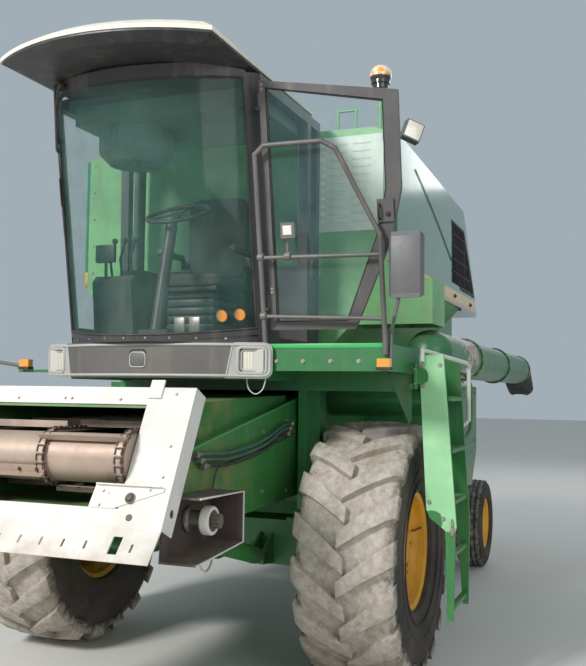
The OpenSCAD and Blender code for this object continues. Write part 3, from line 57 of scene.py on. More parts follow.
sky = bpy.data.worlds.new("studio_sky")
sky.use_nodes = True
sky.node_tree.nodes["Background"].inputs["Color"].default_value = (0.72, 0.84, 0.93, 1.0)
sky.node_tree.nodes["Background"].inputs["Strength"].default_value = 0.50
bpy.context.scene.world = sky

for name, spot, turn, width, power in (
        ("key_light", (-4.0, -13.0, 9.0), (56, 0, -17), 2.6, 1750.0),
        ("fill_light", (9.0, -9.0, 5.0), (68, 0, 45), 6.0, 260.0),
        ("back_light", (2.0, 12.0, 9.0), (-52, 0, 0), 6.0, 260.0)):
    bpy.ops.object.light_add(type="AREA", location=spot, rotation=[radians(a) for a in turn])
    lamp = bpy.context.object
    lamp.name = name
    lamp.data.size = width
    lamp.data.energy = power


def put(tree, kind, sockets=(), **own):
    """Adds one shader node with its settings, and its sockets' values or wires."""
    made = tree.nodes.new("ShaderNode" + kind)
    for key, value in own.items():
        setattr(made, key, value)
    for socket, value in dict(sockets).items():
        if isinstance(value, bpy.types.NodeSocket):
            tree.links.new(value, made.inputs[socket])
        else:
            made.inputs[socket].default_value = value
    return made


def cloud(where, size, detail=5.0, rough=0.6):
    """Uneven pattern from 0 to 1."""
    return put(where.id_data, "TexNoise",
               {"Vector": where, "Scale": size, "Detail": detail, "Roughness": rough}).outputs[0]


def span(value, low, high, start=0.0, end=1.0):
    """Takes low to high of a value to start to end, and no further."""
    return put(value.id_data, "MapRange", {0: value, 1: low, 2: high, 3: start, 4: end}).outputs[0]


def maths(work, first, second=0.5):
    """One step of arithmetic."""
    return put(first.id_data, "Math", {0: first, 1: second}, operation=work).outputs[0]


def times(first, second):
    return maths("MULTIPLY", first, second)


def axes(where):
    """The X, Y and Z of a place or direction."""
    return put(where.id_data, "SeparateXYZ", {0: where}).outputs


def blend(share, first, second):
    """Colour that goes from first to second with share."""
    return put(share.id_data, "Mix", {0: share, 6: first, 7: second}, data_type="RGBA").outputs[2]


def rgb(red, green, blue, factor=1.0):
    return (min(red * factor, 1.0), min(green * factor, 1.0), min(blue * factor, 1.0), 1.0)


def new_finish(name):
    """An empty finish with its tree, shader and the place on the machine."""
    made = bpy.data.materials.new(name)
    made.use_nodes = True
    tree = made.node_tree
    shader = tree.nodes["Principled BSDF"]
    where = put(tree, "TexCoord").outputs["Object"]
    return made, tree, shader, where


floor_finish, tree, shader, where = new_finish("studio_floor")
tree.links.new(blend(cloud(where, 0.8), rgb(0.66, 0.63, 0.58), rgb(0.72, 0.70, 0.66)),
               shader.inputs["Base Color"])
shader.inputs["Roughness"].default_value = 0.9
bpy.ops.mesh.primitive_plane_add(size=90.0, location=(0.0, 10.0, 0.0))
floor = bpy.context.object
floor.name = "studio_floor"
floor.data.materials.append(floor_finish)

# Drive wheels. Lugged rubber tyres, pale on the tread from dried field soil and painted sunlight, and darker
# on the walls, on pressed yellow discs that are bolted to the final drives.
drive_x, drive_z = 1.119, 0.780
soil = (0.30, 0.235, 0.165)
rust_brown = (0.19, 0.075, 0.03)


def bump(height, strength, distance):
    """Fine relief of a finish."""
    tree = height.id_data
    relief = put(tree, "Bump", {"Strength": strength, "Distance": distance, "Height": height}).outputs[0]
    tree.links.new(relief, tree.nodes["Principled BSDF"].inputs["Normal"])


def rubber(name, wheel_y, wheel_z, tread_start, tread_end, soil_and_sunlight):
    """Dusty rubber: a pale tread, partly soil and partly painted sunlight, and dark walls with a dust bloom."""
    made, tree, shader, where = new_finish(name)
    apart = axes(where)
    off_y = maths("SUBTRACT", apart[1], wheel_y)
    off_z = maths("SUBTRACT", apart[2], wheel_z)
    out = maths("POWER", maths("ADD", times(off_y, off_y), times(off_z, off_z)), 0.5)
    broad = cloud(where, 2.6, 6.0)
    mottle = cloud(where, 22.0, 8.0, 0.7)
    grit = cloud(where, 180.0, 6.0, 0.75)
    edge = maths("ADD", out, span(mottle, 0.3, 0.7, -0.03, 0.03))
    tread = span(edge, tread_start, tread_end)
    pale = blend(span(mottle, 0.35, 0.68), rgb(0.34, 0.29, 0.235), rgb(0.56, 0.51, 0.445))
    pale = blend(span(broad, 0.52, 0.7, 0.0, 0.5), pale, rgb(0.24, 0.17, 0.11))
    wall = blend(span(broad, 0.35, 0.65, 0.0, 0.55), rgb(0.040, 0.036, 0.034), rgb(0.15, 0.115, 0.085))
    # The tread's pale tone is partly soil and partly painted sunlight on the lugs.
    tree.links.new(blend(times(tread, soil_and_sunlight), wall, pale), shader.inputs["Base Color"])
    tree.links.new(span(mottle, 0.3, 0.7, 0.68, 0.95), shader.inputs["Roughness"])
    bump(maths("ADD", times(mottle, 0.7), times(grit, 0.3)), 0.55, 0.006)
    shader.inputs["Specular IOR Level"].default_value = 0.3
    return made


def paint(name, colour, gloss=0.32, dust=0.5, rust=0.25, fade=0.2, coat=0.0, metal=0.0, dirt=soil):
    """Sheet paint with cloudy fading, run marks, dust where it settles, and rusty chips."""
    made, tree, shader, where = new_finish(name)
    broad = cloud(where, 1.3, 5.0)
    mottle = cloud(where, 17.0, 7.0, 0.68)
    fine = cloud(where, 140.0, 5.0, 0.7)
    runs = cloud(put(tree, "Mapping", {"Vector": where, "Scale": (11.0, 11.0, 0.8)}).outputs[0], 1.0, 5.0)
    tone = blend(span(broad, 0.35, 0.65), rgb(*colour, 1.0 - fade * 0.7), rgb(*colour, 1.0 + fade * 0.6))
    tone = blend(span(runs, 0.52, 0.72, 0.0, fade), tone, rgb(*dirt, 0.8))
    up = span(axes(put(tree, "NewGeometry").outputs["Normal"])[2], -0.1, 0.9, 0.16, 1.0)
    low = span(axes(where)[2], 0.2, 2.6, 1.0, 0.45)
    settled = times(times(up, low), span(mottle, 0.32, 0.66, 0.35, 1.0))
    settled = times(settled, dust)
    tone = blend(settled, tone, rgb(*dirt))
    chips = times(span(mottle, 0.655, 0.685), span(broad, 0.42, 0.62))
    chips = times(chips, rust)
    tree.links.new(blend(chips, tone, rgb(*rust_brown)), shader.inputs["Base Color"])
    worn = maths("MAXIMUM", times(settled, 0.9), chips)
    rough = maths("ADD", span(worn, 0.0, 0.6, gloss, 0.85), span(mottle, 0.3, 0.7, -0.05, 0.06))
    tree.links.new(rough, shader.inputs["Roughness"])
    bump(maths("ADD", times(fine, 0.25), times(chips, -0.6)), 0.35, 0.0015)
    shader.inputs["Metallic"].default_value = metal
    shader.inputs["Coat Weight"].default_value = coat
    shader.inputs["Coat Roughness"].default_value = 0.12
    return made


def ground(finish):
    """The place on the machine, as a finish knows it."""
    return finish.node_tree.nodes["Texture Coordinate"].outputs["Object"]


def away(where, point):
    """How far a place is from a point."""
    return put(where.id_data, "VectorMath", {0: where, 1: point}, operation="DISTANCE").outputs[1]


def overlay(finish, share, colour):
    """Lays a colour over a finish, as far as share says."""
    tree = finish.node_tree
    base = tree.nodes["Principled BSDF"].inputs["Base Color"]
    tree.links.new(blend(share, base.links[0].from_socket, colour), base)


def dress(finish, *names):
    """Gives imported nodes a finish."""
    for name in names:
        mesh = nodes[name].data
        mesh.materials.clear()
        mesh.materials.append(finish)


def soften(width, *names, angle=38.0):
    """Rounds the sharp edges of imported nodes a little, as folded sheet and moulded rubber are."""
    for name in names:
        weld = nodes[name].modifiers.new("weld", "WELD")
        weld.merge_threshold = 0.00004
        bevel = nodes[name].modifiers.new("round", "BEVEL")
        bevel.width = width
        bevel.segments = 2
        bevel.limit_method = "ANGLE"
        bevel.angle_limit = radians(angle)
        bevel.use_clamp_overlap = True


def hands_off():
    bpy.ops.object.select_all(action="DESELECT")


def place(piece, name, finish, body="chassis", smooth=35.0):
    """Settles a finished piece: its place goes into its mesh, and it rides on its body."""
    hands_off()
    piece.select_set(True)
    bpy.context.view_layer.objects.active = piece
    if piece.type != "MESH":
        bpy.ops.object.convert(target="MESH")
        piece = bpy.context.object
    bpy.ops.object.transform_apply()
    piece.name = name
    piece.data.name = name
    piece.data.materials.clear()
    piece.data.materials.append(finish)
    if smooth:
        bpy.ops.object.shade_smooth_by_angle(angle=radians(smooth))
    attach(piece, body)
    return piece


def gather(parts, name, finish, body="chassis", smooth=35.0):
    """Joins parts to one piece and settles it."""
    hands_off()
    for part in parts:
        part.select_set(True)
    bpy.context.view_layer.objects.active = parts[0]
    bpy.ops.object.transform_apply()
    if len(parts) > 1:
        bpy.ops.object.join()
    return place(bpy.context.object, name, finish, body, smooth)


def facing(way):
    """The turn that takes a part's Z to a way."""
    return Vector(way).normalized().to_track_quat("Z", "Y").to_matrix().to_4x4()


def copies(mesh, moves):
    """Copies of a small part, one for each move, every one with its own mesh."""
    made = []
    for move in moves:
        copy = bpy.data.objects.new(mesh.name, mesh.copy())
        copy.data.transform(move)
        bpy.context.scene.collection.objects.link(copy)
        made.append(copy)
    return made


def at(x, y, z):
    """A place measured from the middle of the front axle on the ground, in the shared frame."""
    return Vector((x, front_axle_y + y, z))


def circle(x, y, z, radius, count, axis, first=0.0):
    """Evenly spread places round an X, Y or Z axis through a middle, from a first angle on."""
    places = []
    for i in range(count):
        a = radians(first + 360 * i / count)
        u, v = radius * cos(a), radius * sin(a)
        dx, dy, dz = {"X": (0, u, v), "Y": (u, 0, v), "Z": (u, v, 0)}[axis]
        places.append(at(x + dx, y + dy, z + dz))
    return places


def both_sides(x, places):
    """(point, outward) spots at the same (y, z) places on the machine's right and left."""
    return [(at(side * x, y, z), (side, 0, 0)) for side in (-1, 1) for y, z in places]


def block(low, high, edge=0.003):
    """A folded or cast block with rounded edges, between two corners."""
    hands_off()
    low, high = at(*low), at(*high)
    bpy.ops.mesh.primitive_cube_add(size=1.0, location=(low + high) / 2)
    piece = bpy.context.object
    piece.scale = high - low
    bpy.ops.object.transform_apply()
    bpy.ops.object.mode_set(mode="EDIT")
    bpy.ops.mesh.bevel(offset=edge, segments=2, affect="EDGES")
    bpy.ops.object.mode_set(mode="OBJECT")
    return piece


def turned(seat, way, profile, sides=32):
    """A turned part: (radius, height) steps that stand on its seat along way."""
    hands_off()
    radius, height = profile[0]
    bpy.ops.mesh.primitive_circle_add(vertices=sides, radius=radius, fill_type="NGON",
                                      location=(0, 0, height))
    bpy.ops.object.transform_apply()
    bpy.ops.object.mode_set(mode="EDIT")
    for wider, higher in profile[1:]:
        bpy.ops.mesh.extrude_region_move(TRANSFORM_OT_translate={"value": (0, 0, higher - height)})
        bpy.ops.transform.resize(value=(wider / radius, wider / radius, 1), center_override=(0, 0, higher))
        radius, height = wider, higher
    bpy.ops.mesh.select_all(action="SELECT")
    bpy.ops.mesh.normals_make_consistent(inside=False)
    bpy.ops.object.mode_set(mode="OBJECT")
    piece = bpy.context.object
    piece.matrix_world = Matrix.Translation(seat) @ facing(way)
    bpy.ops.object.transform_apply()
    return piece


def bent_rod(points, radius, closed=False, sides=2):
    """A round rod or bead along points: a point is drawn out into a line, which gets its thickness."""
    hands_off()
    points = [Vector(point) for point in points]
    bpy.ops.mesh.primitive_plane_add(size=0.001, location=points[0])
    bpy.ops.object.mode_set(mode="EDIT")
    bpy.ops.mesh.merge(type="CENTER")
    for start, end in zip(points, points[1:]):
        bpy.ops.mesh.extrude_region_move(TRANSFORM_OT_translate={"value": end - start})
    bpy.ops.object.mode_set(mode="OBJECT")
    bpy.ops.object.convert(target="CURVE")
    rod = bpy.context.object
    if closed:
        rod.data.splines[0].use_cyclic_u = True
    rod.data.bevel_depth = radius
    rod.data.bevel_resolution = sides
    rod.data.use_fill_caps = True
    bpy.ops.object.convert(target="MESH")
    return bpy.context.object


def smooth_path(points, count=6):
    """A smooth line through points, count steps to a stretch."""
    points = [Vector(point) for point in points]
    ends = [2 * points[0] - points[1]] + points + [2 * points[-1] - points[-2]]
    line = []
    for a, b, c, d in zip(ends, ends[1:], ends[2:], ends[3:]):
        slope, bend, twist = c - a, 2 * a - 5 * b + 4 * c - d, 3 * b - a - 3 * c + d
        for i in range(count):
            t = i / count
            line.append(0.5 * (2 * b + slope * t + bend * t * t + twist * t * t * t))
    return line + [points[-1]]


def hex_bolt(size):
    """One bolt head with its washer, its seat at the origin and its head along Z."""
    hands_off()
    bpy.ops.mesh.primitive_cylinder_add(vertices=6, radius=size, depth=size * 0.8,
                                        location=(0, 0, size * 0.55))
    head = bpy.context.object
    bevel = head.modifiers.new("edge", "BEVEL")
    bevel.width = size * 0.12
    bevel.segments = 1
    bpy.ops.object.modifier_apply(modifier="edge")
    bpy.ops.mesh.primitive_cylinder_add(vertices=14, radius=size * 1.35, depth=size * 0.24,
                                        location=(0, 0, size * 0.1))
    head.select_set(True)
    bpy.context.view_layer.objects.active = head
    bpy.ops.object.join()
    bpy.ops.object.transform_apply()
    return head


def bolts(name, spots, size, finish, body="chassis"):
    """A group of like bolts at (point, direction) spots, as one piece."""
    head = hex_bolt(size)
    heads = copies(head.data, [Matrix.Translation(point) @ facing(way) for point, way in spots])
    bpy.data.objects.remove(head)
    return gather(heads, name, finish, body, 25.0)


def hub_cap(name, middle, radius, depth, edge, sides, body):
    """A yellow cap with a rounded edge over a wheel's hub."""
    hands_off()
    bpy.ops.mesh.primitive_cylinder_add(vertices=sides, radius=radius, depth=depth,
                                        rotation=(0, radians(90), 0), location=middle)
    cap = bpy.context.object
    bpy.ops.object.mode_set(mode="EDIT")
    bpy.ops.mesh.select_all(action="SELECT")
    bpy.ops.mesh.bevel(offset=edge, segments=3, affect="EDGES")
    bpy.ops.object.mode_set(mode="OBJECT")
    place(cap, name, wheel_yellow, body)


drive_rubber = rubber("drive_tyre_rubber", front_axle_y, drive_z, 0.655, 0.715, 0.96)
wheel_yellow = paint("wheel_yellow_paint", (0.80, 0.40, 0.015), 0.4, 0.55, 0.9, 0.3, dirt=(0.34, 0.22, 0.10))
dark_nut = paint("oily_wheel_nut", (0.06, 0.05, 0.045), 0.5, 0.5, 0.5, 0.3, metal=0.4)
dress(drive_rubber, "front_left_tyre", "front_right_tyre")
dress(wheel_yellow, "front_left_rim", "front_right_rim")
soften(0.007, "front_left_tyre", "front_right_tyre")

disc_face = drive_x + 0.132
for side, label in ((1, "left"), (-1, "right")):
    wheel = f"front_{label}_wheel"
    nuts = circle(side * disc_face, 0.0, drive_z, 0.145, 8, "X", 22.5)
    bolts(f"drive_wheel_nuts_{label}", [(spot, (side, 0, 0)) for spot in nuts], 0.017, dark_nut, wheel)
    middle = at(side * (disc_face + 0.022), 0.0, drive_z)
    hub_cap(f"drive_hub_cap_{label}", middle, 0.098, 0.05, 0.012, 40, wheel)
    rings = []
    for radius, thick, out in ((0.430, 0.005, 0.283), (0.520, 0.004, 0.291), (0.635, 0.006, 0.281)):
        bpy.ops.mesh.primitive_torus_add(
            major_radius=radius, minor_radius=thick, major_segments=72, minor_segments=6,
            rotation=(0, radians(90), 0), location=at(side * (drive_x + out), 0.0, drive_z))
        rings.append(bpy.context.object)
    gather(rings, f"drive_tyre_wall_rings_{label}", drive_rubber, wheel)
    stem = smooth_path([at(side * (disc_face + out), y, z) for out, y, z in (
        (0.001, 0.285, 0.85), (0.031, 0.29, 0.855), (0.051, 0.30, 0.865))], 4)
    valve = [bent_rod(stem, 0.005),
             turned(stem[-1], stem[-1] - stem[-2], ((0.007, 0), (0.007, 0.018), (0.005, 0.022)), 12)]
    gather(valve, f"drive_tyre_valve_{label}", dark_nut, wheel)
    rim_bolts = circle(side * (disc_face + 0.006), 0.0, drive_z, 0.235, 8, "X")
    bolts(f"drive_rim_bolts_{label}", [(spot, (side, 0, 0)) for spot in rim_bolts], 0.011, dark_nut, wheel)

where = ground(wheel_yellow)
apart = axes(where)
flat = put(where.id_data, "CombineXYZ", {1: apart[1], 2: apart[2]}).outputs[0]
off = away(flat, (0.0, front_axle_y, drive_z))
greasy = times(span(off, 0.12, 0.14), span(off, 0.22, 0.20))
greasy = times(greasy, span(cloud(where, 11.0, 4.0), 0.52, 0.60, 0.0, 0.92))
overlay(wheel_yellow, greasy, rgb(0.03, 0.022, 0.016))

# Steered rear wheels. Ribbed narrow tyres on small yellow discs, dark and worn,
# on knuckles and an axle beam that swings under the rear frame.
rear_y, steer_x, steer_z, kingpin_x = 3.800, 1.050, 0.430, 0.850
steer_rubber = rubber("steer_tyre_rubber", front_axle_y + rear_y, steer_z, 0.405, 0.435, 0.55)
frame_green = paint("frame_green_paint", (0.018, 0.165, 0.045), 0.38, 0.5, 0.3, 0.3)
bare_rod = paint("greasy_steel", (0.34, 0.31, 0.28), 0.35, 0.4, 0.5, 0.2, metal=0.8)
dress(steer_rubber, "rear_left_tyre", "rear_right_tyre")
dress(wheel_yellow, "rear_left_rim", "rear_right_rim")
dress(frame_green, "rear_axle", "left_knuckle", "right_knuckle", "main_frame", "front_axle")
dress(bare_rod, "tie_rod")
steer_face = steer_x + 0.039
for side, label in ((1, "left"), (-1, "right")):
    wheel = f"rear_{label}_wheel"
    nuts = circle(side * steer_face, rear_y, steer_z, 0.085, 6, "X", 30)
    bolts(f"steer_wheel_nuts_{label}", [(spot, (side, 0, 0)) for spot in nuts], 0.013, dark_nut, wheel)
    middle = at(side * (steer_face + 0.026), rear_y, steer_z)
    hub_cap(f"steer_hub_cap_{label}", middle, 0.052, 0.06, 0.010, 32, wheel)
for side, label in ((1, "left"), (-1, "right")):
    pin_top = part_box(f"{label}_knuckle")[1][2]
    cap = turned(at(side * kingpin_x, rear_y, pin_top - 0.004), (0, 0, 1),
                 ((0.022, 0), (0.022, 0.006), (0.016, 0.010), (0.008, 0.012)), 24)
    place(cap, f"kingpin_cap_{label}", dark_nut, f"{label}_steering")
rod_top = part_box("tie_rod")[1][2]
ends = [turned(at(side * kingpin_x, rear_y + 0.200, rod_top - 0.002), (0, 0, 1),
               ((0.015, 0), (0.015, 0.012), (0.007, 0.013), (0.007, 0.022)), 6) for side in (-1, 1)]
gather(ends, "tie_rod_nuts", dark_nut, "track_rod")

# Threshing body and its side shields. Folded green sheet with bolted seams; the
# shields hang over the drive belts; two lamps and a blank plate close the rear end.
body_green = paint("body_green_paint", (0.022, 0.205, 0.055), 0.3, 0.42, 0.25, 0.28, coat=0.15)
dress(body_green, "separator_body", "side_shields", "straw_hood", "straw_chopper", "engine_hood",
      "auger_elbow")
soften(0.004, "side_shields", "straw_hood", "straw_chopper", "engine_hood")
steel_bolt = paint("zinc_bolt", (0.38, 0.36, 0.31), 0.4, 0.4, 0.8, 0.3, metal=0.7)
seams = [(y, z) for y in (1.20, 1.66, 1.74, 2.36, 2.44, 3.06) for z in (1.30, 1.74)]
bolts("shield_bolts", both_sides(1.1805, seams), 0.009, steel_bolt)

pressings = []
for side in (-1, 1):
    x, proud_x = side * 1.181, side * 1.209
    for y0, y1 in ((1.19, 1.67), (1.73, 2.37), (2.43, 3.07)):
        for z in (1.275, 1.775):
            pressings.append(bent_rod([at(x, y0 + 0.04, z), at(x, y1 - 0.04, z)], 0.006))
        mid = (y0 + y1) / 2
        grip = [at(x, mid - 0.05, 1.70), at(proud_x, mid - 0.04, 1.70), at(proud_x, mid + 0.04, 1.70),
                at(x, mid + 0.05, 1.70)]
        pressings.append(bent_rod(smooth_path(grip, 4), 0.006))
gather(pressings, "shield_ribs_and_grips", body_green)
covers = []
inner, outer, rise = 0.692, 1.178, 0.140
for side in (-1, 1):
    low_x, high_x = sorted((side * inner, side * outer))
    sheet = block((low_x, 1.125, 1.7965), (high_x, 3.175, 1.7995), 0.001)
    for corner in sheet.data.vertices:
        corner.co.z += rise * (outer - abs(corner.co.x)) / (outer - inner)
    covers.append(sheet)
    for y in (1.62, 2.15, 2.68):
        covers.append(bent_rod([at(side * 0.76, y, 1.9215), at(side * 1.12, y, 1.8175)], 0.006))
gather(covers, "shield_top_covers", body_green)
bearing_steps = ((0.075, 0), (0.075, 0.012), (0.048, 0.016), (0.044, 0.040), (0.026, 0.042), (0.022, 0.060))
bearings = [turned(spot, out, bearing_steps, 28)
            for spot, out in both_sides(0.690, ((0.72, 1.30), (0.98, 0.86), (1.30, 0.98)))]
gather(bearings, "flange_bearings", dark_nut)
tail_lens = paint("tail_lamp_red", (0.45, 0.012, 0.010), 0.2, 0.3, 0.0, 0.2, coat=0.6)
tail = [block((x - 0.075, 5.090, 1.36), (x + 0.075, 5.148, 1.46), 0.006) for x in (-0.60, 0.60)]
gather(tail, "tail_lamps", tail_lens)
plate_pale = paint("blank_rear_plate", (0.52, 0.51, 0.47), 0.5, 0.4, 0.3, 0.2)
place(block((-0.16, 5.080, 1.42), (0.16, 5.126, 1.54), 0.004), "blank_rear_plate", plate_pale)

# Grain tank. Light green folded sheet on a frame, painted nearly white on the front wall as painted sunlight;
# the front wall has pressed slots and bolted edges; hoop handles.
tank_green = paint("tank_light_green", (0.17, 0.43, 0.16), 0.42, 0.35, 0.25, 0.35)
# The front wall's slots and cover take a near-white copy of the tank green: painted sunlight.
tank_front_sunlit = paint("tank_front_painted_sunlight", (0.66, 0.74, 0.64), 0.5, 0.25, 0.25, 0.15)
dress(tank_green, "grain_tank")
dress(bare_rod, "filling_auger")
louvres = []
for column in range(3):
    for row in range(11):
        x, z = 0.63 + 0.16 * column, 2.86 + 0.052 * row
        louvres.append(block((x - 0.062, 0.138, z), (x + 0.062, 0.149, z + 0.020), 0.004))
gather(louvres, "tank_front_louvres", tank_front_sunlit)
cover = block((0.50, 0.1425, 2.80), (1.10, 0.1497, 3.44), 0.003)
place(cover, "tank_front_cover", tank_front_sunlit)
tank_spots = [(at(x, 0.150, z), (0, -1, 0)) for x in (-1.13, -0.75, 1.13)
              for z in (2.60, 2.80, 3.00, 3.20, 3.40)]
bolts("tank_front_bolts", tank_spots, 0.009, steel_bolt)

# Large side panels. Deep glossy green moulded sheet with a warm yellow and orange band
# along the lower edge, dark pressed air screens near the rear, and turn latches.
panel_green = paint("panel_gloss_green", (0.014, 0.20, 0.085), 0.16, 0.16, 0.12, 0.2, coat=0.8)
where = ground(panel_green)
worn_edge = span(cloud(where, 60.0, 6.0), 0.3, 0.7, -0.004, 0.004)
height = maths("ADD", axes(where)[2], worn_edge)
band = times(span(height, 2.494, 2.497), span(height, 2.606, 2.603))
tone = blend(span(height, 2.522, 2.528), rgb(0.72, 0.20, 0.02), rgb(0.86, 0.50, 0.05))
tone = blend(span(cloud(where, 9.0), 0.45, 0.7, 0.0, 0.55), tone, rgb(0.42, 0.27, 0.12))
overlay(panel_green, band, tone)
screen_black = paint("screen_black", (0.018, 0.018, 0.020), 0.5, 0.35, 0.3, 0.3)
dress(panel_green, "side_panels")
dress(screen_black, "air_screens")
soften(0.005, "side_panels")
screen_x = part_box("air_screens")[1][0] + 0.001
bar_count, drop = 34, 0.55
for side, label in ((1, "left"), (-1, "right")):
    x = side * screen_x
    bars = []
    for i in range(bar_count):
        share = i / (bar_count - 1)
        y = 1.945 + 0.93 * share
        top = 3.176 - 0.03 * share if share < drop else 3.160 - 0.98 * (share - drop)
        bars.append(bent_rod([at(x, y, 2.665), at(x, y, max(top, 2.70))], 0.0028, sides=1))
    for z, reach in ((2.76, 2.72), (2.87, 2.72), (2.98, 2.45), (3.08, 2.45)):
        bars.append(bent_rod([at(x, 1.935, z), at(x, reach, z)], 0.0032, sides=1))
    gather(bars, f"air_screen_bars_{label}", screen_black)
    latches = [turned(at(side * 1.1940, y, z), (side, 0, 0),
                      ((0.019, 0), (0.019, 0.006), (0.010, 0.009), (0.008, 0.016)), 20)
               for y, z in ((0.42, 2.56), (1.25, 2.56), (2.05, 2.56), (2.78, 2.55))]
    gather(latches, f"panel_latches_{label}", dark_nut)

# Loose leads. A thin black aerial lead lies against the left panel, held at both ends.
# The pale and teal finishes are those of the light bar's lead and the feeder's hoses.
lead_black = paint("lead_black_rubber", (0.016, 0.016, 0.017), 0.55, 0.45, 0.0, 0.3)
lead_white = paint("lead_pale_plastic", (0.50, 0.50, 0.47), 0.5, 0.4, 0.0, 0.3)
hose_teal = paint("hose_dusty_teal", (0.03, 0.12, 0.11), 0.5, 0.5, 0.0, 0.3)


def hose(name, points, thick, finish, body="chassis"):
    """A free hose or wire through points; it leaves the machine and goes back into it."""
    line = smooth_path(points, 6)
    made = bpy.data.curves.new(name, "CURVE")
    made.dimensions = "3D"
    made.bevel_depth = thick / 2
    made.bevel_resolution = 3
    made.use_fill_caps = True
    spline = made.splines.new("POLY")
    spline.points.add(len(line) - 1)
    for point, spot in zip(spline.points, line):
        point.co = (*spot, 1.0)
    piece = bpy.data.objects.new(name, made)
    bpy.context.scene.collection.objects.link(piece)
    made.materials.append(finish)
    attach(piece, body)
    return piece


hose("panel_aerial_lead",
     [at(1.198, 0.62, 3.30), at(1.199, 0.95, 3.20), at(1.199, 1.45, 3.02), at(1.198, 1.90, 2.84)],
     0.006, lead_black)

# Engine hood, exhaust and air intake. A burnt flat-cut stack, an oily grey block, two
# grab bars on the hood and a thin band round the bowl of the air intake.
exhaust_black = paint("burnt_exhaust", (0.05, 0.04, 0.035), 0.7, 0.3, 1.0, 0.3)
dress(exhaust_black, "exhaust_stack")
dress(paint("oily_engine_grey", (0.12, 0.12, 0.11), 0.6, 0.4, 0.6, 0.3), "engine_block")
hood_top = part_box("engine_hood")[1][2]
grabs = []
for x in (-0.62, 0.62):
    grip = [at(x, y, hood_top + rise)
            for y, rise in ((2.62, -0.004), (2.63, 0.035), (2.87, 0.035), (2.88, -0.004))]
    grabs.append(bent_rod(smooth_path(grip, 5), 0.009))
gather(grabs, "hood_grab_bars", steel_bolt)
intake = bent_rod(circle(0.56, 2.79, hood_top + 0.03, 0.088, 30, "Z"), 0.004, closed=True, sides=1)
gather([intake], "intake_bowl_bands", steel_bolt)

# Cab frame. Dark painted posts and floor pan with rubber seals round the glass and
# wiper arms that turn on pivots over the windscreen.
lean = radians(9.7)
screen_radius = 0.8031


def leaning(x, y, z, foot=-0.776):
    """A place on the forward leaning cab front, measured from the foot of its posts."""
    return at(x, foot + y * cos(lean) - z * sin(lean), 2.090 + y * sin(lean) + z * cos(lean))


def on_screen(x, z, proud=0.0):
    """A place on the bowed windscreen."""
    radius = screen_radius + proud
    return leaning(x, 0.5031 - sqrt(radius * radius - x * x), z)


cab_black = paint("cab_dark_paint", (0.045, 0.044, 0.048), 0.45, 0.45, 0.2, 0.3, dirt=(0.25, 0.21, 0.17))
seal_rubber = paint("glass_seal_rubber", (0.014, 0.014, 0.015), 0.6, 0.45, 0.0, 0.3)
dress(cab_black, "cab_frame", "wipers")
seals = []
for z in (0.006, 1.404):
    seals.append(bent_rod([on_screen(-0.622 + 1.244 * i / 36, z, 0.003) for i in range(37)], 0.008))
for x in (-0.623, 0.623):
    seals.append(bent_rod([on_screen(x, 0.006, 0.003), on_screen(x, 1.404, 0.003)], 0.008))
gather(seals, "windscreen_seal", seal_rubber)
pivots = []
for x in (-0.420, -0.470):
    spot = on_screen(x, 1.441, 0.050)
    pivots.append(turned(spot, spot - on_screen(x, 1.441, 0.0),
                         ((0.017, -0.030), (0.017, 0.0), (0.012, 0.008), (0.005, 0.010)), 20))
gather(pivots, "wiper_pivot_caps", seal_rubber)
blade = [on_screen(-0.592 + 0.004 * i / 12, 1.10 - 0.50 * i / 12, 0.014) for i in range(13)]
wiper_blade = [bent_rod(blade, 0.006),
               bent_rod([spot + Vector((0, -0.012, 0)) for spot in blade[4:9]], 0.004)]
gather(wiper_blade, "wiper_blade", seal_rubber)


def tinted(name, tint, strength):
    """Clear safety glass with a faint tint and a dusty bloom."""
    made, tree, shader, where = new_finish(name)
    haze = cloud(where, 6.0, 7.0, 0.65)
    shader.inputs["Base Color"].default_value = tint
    tree.links.new(span(haze, 0.4, 0.75, strength, strength + 0.10), shader.inputs["Alpha"])
    tree.links.new(span(haze, 0.4, 0.7, 0.03, 0.12), shader.inputs["Roughness"])
    shader.inputs["Specular IOR Level"].default_value = 0.8
    return made


screen_glass = tinted("screen_glass", (0.10, 0.24, 0.20, 1.0), 0.10)
door_pane = tinted("door_pane", (0.13, 0.26, 0.26, 1.0), 0.09)
dress(screen_glass, "windscreen", "cab_windows")
dress(door_pane, "door_glass")
sticker_orange = paint("orange_sticker", (0.62, 0.22, 0.03), 0.4, 0.3, 0.0, 0.3)
sticker_dark = paint("dark_sticker_ring", (0.10, 0.06, 0.03), 0.4, 0.3, 0.0, 0.3)
for number, x in ((1, 0.475), (2, 0.555)):
    spot = on_screen(x, 0.091, 0.0004)
    out = spot - on_screen(x, 0.091, -0.1)
    place(turned(spot, out, ((0.036, 0), (0.036, 0.0012)), 40), f"screen_disc_{number}", sticker_dark)
    place(turned(spot, out, ((0.031, 0.0013), (0.031, 0.0020), (0.012, 0.0024), (0.010, 0.0020)), 40),
          f"screen_disc_face_{number}", sticker_orange)

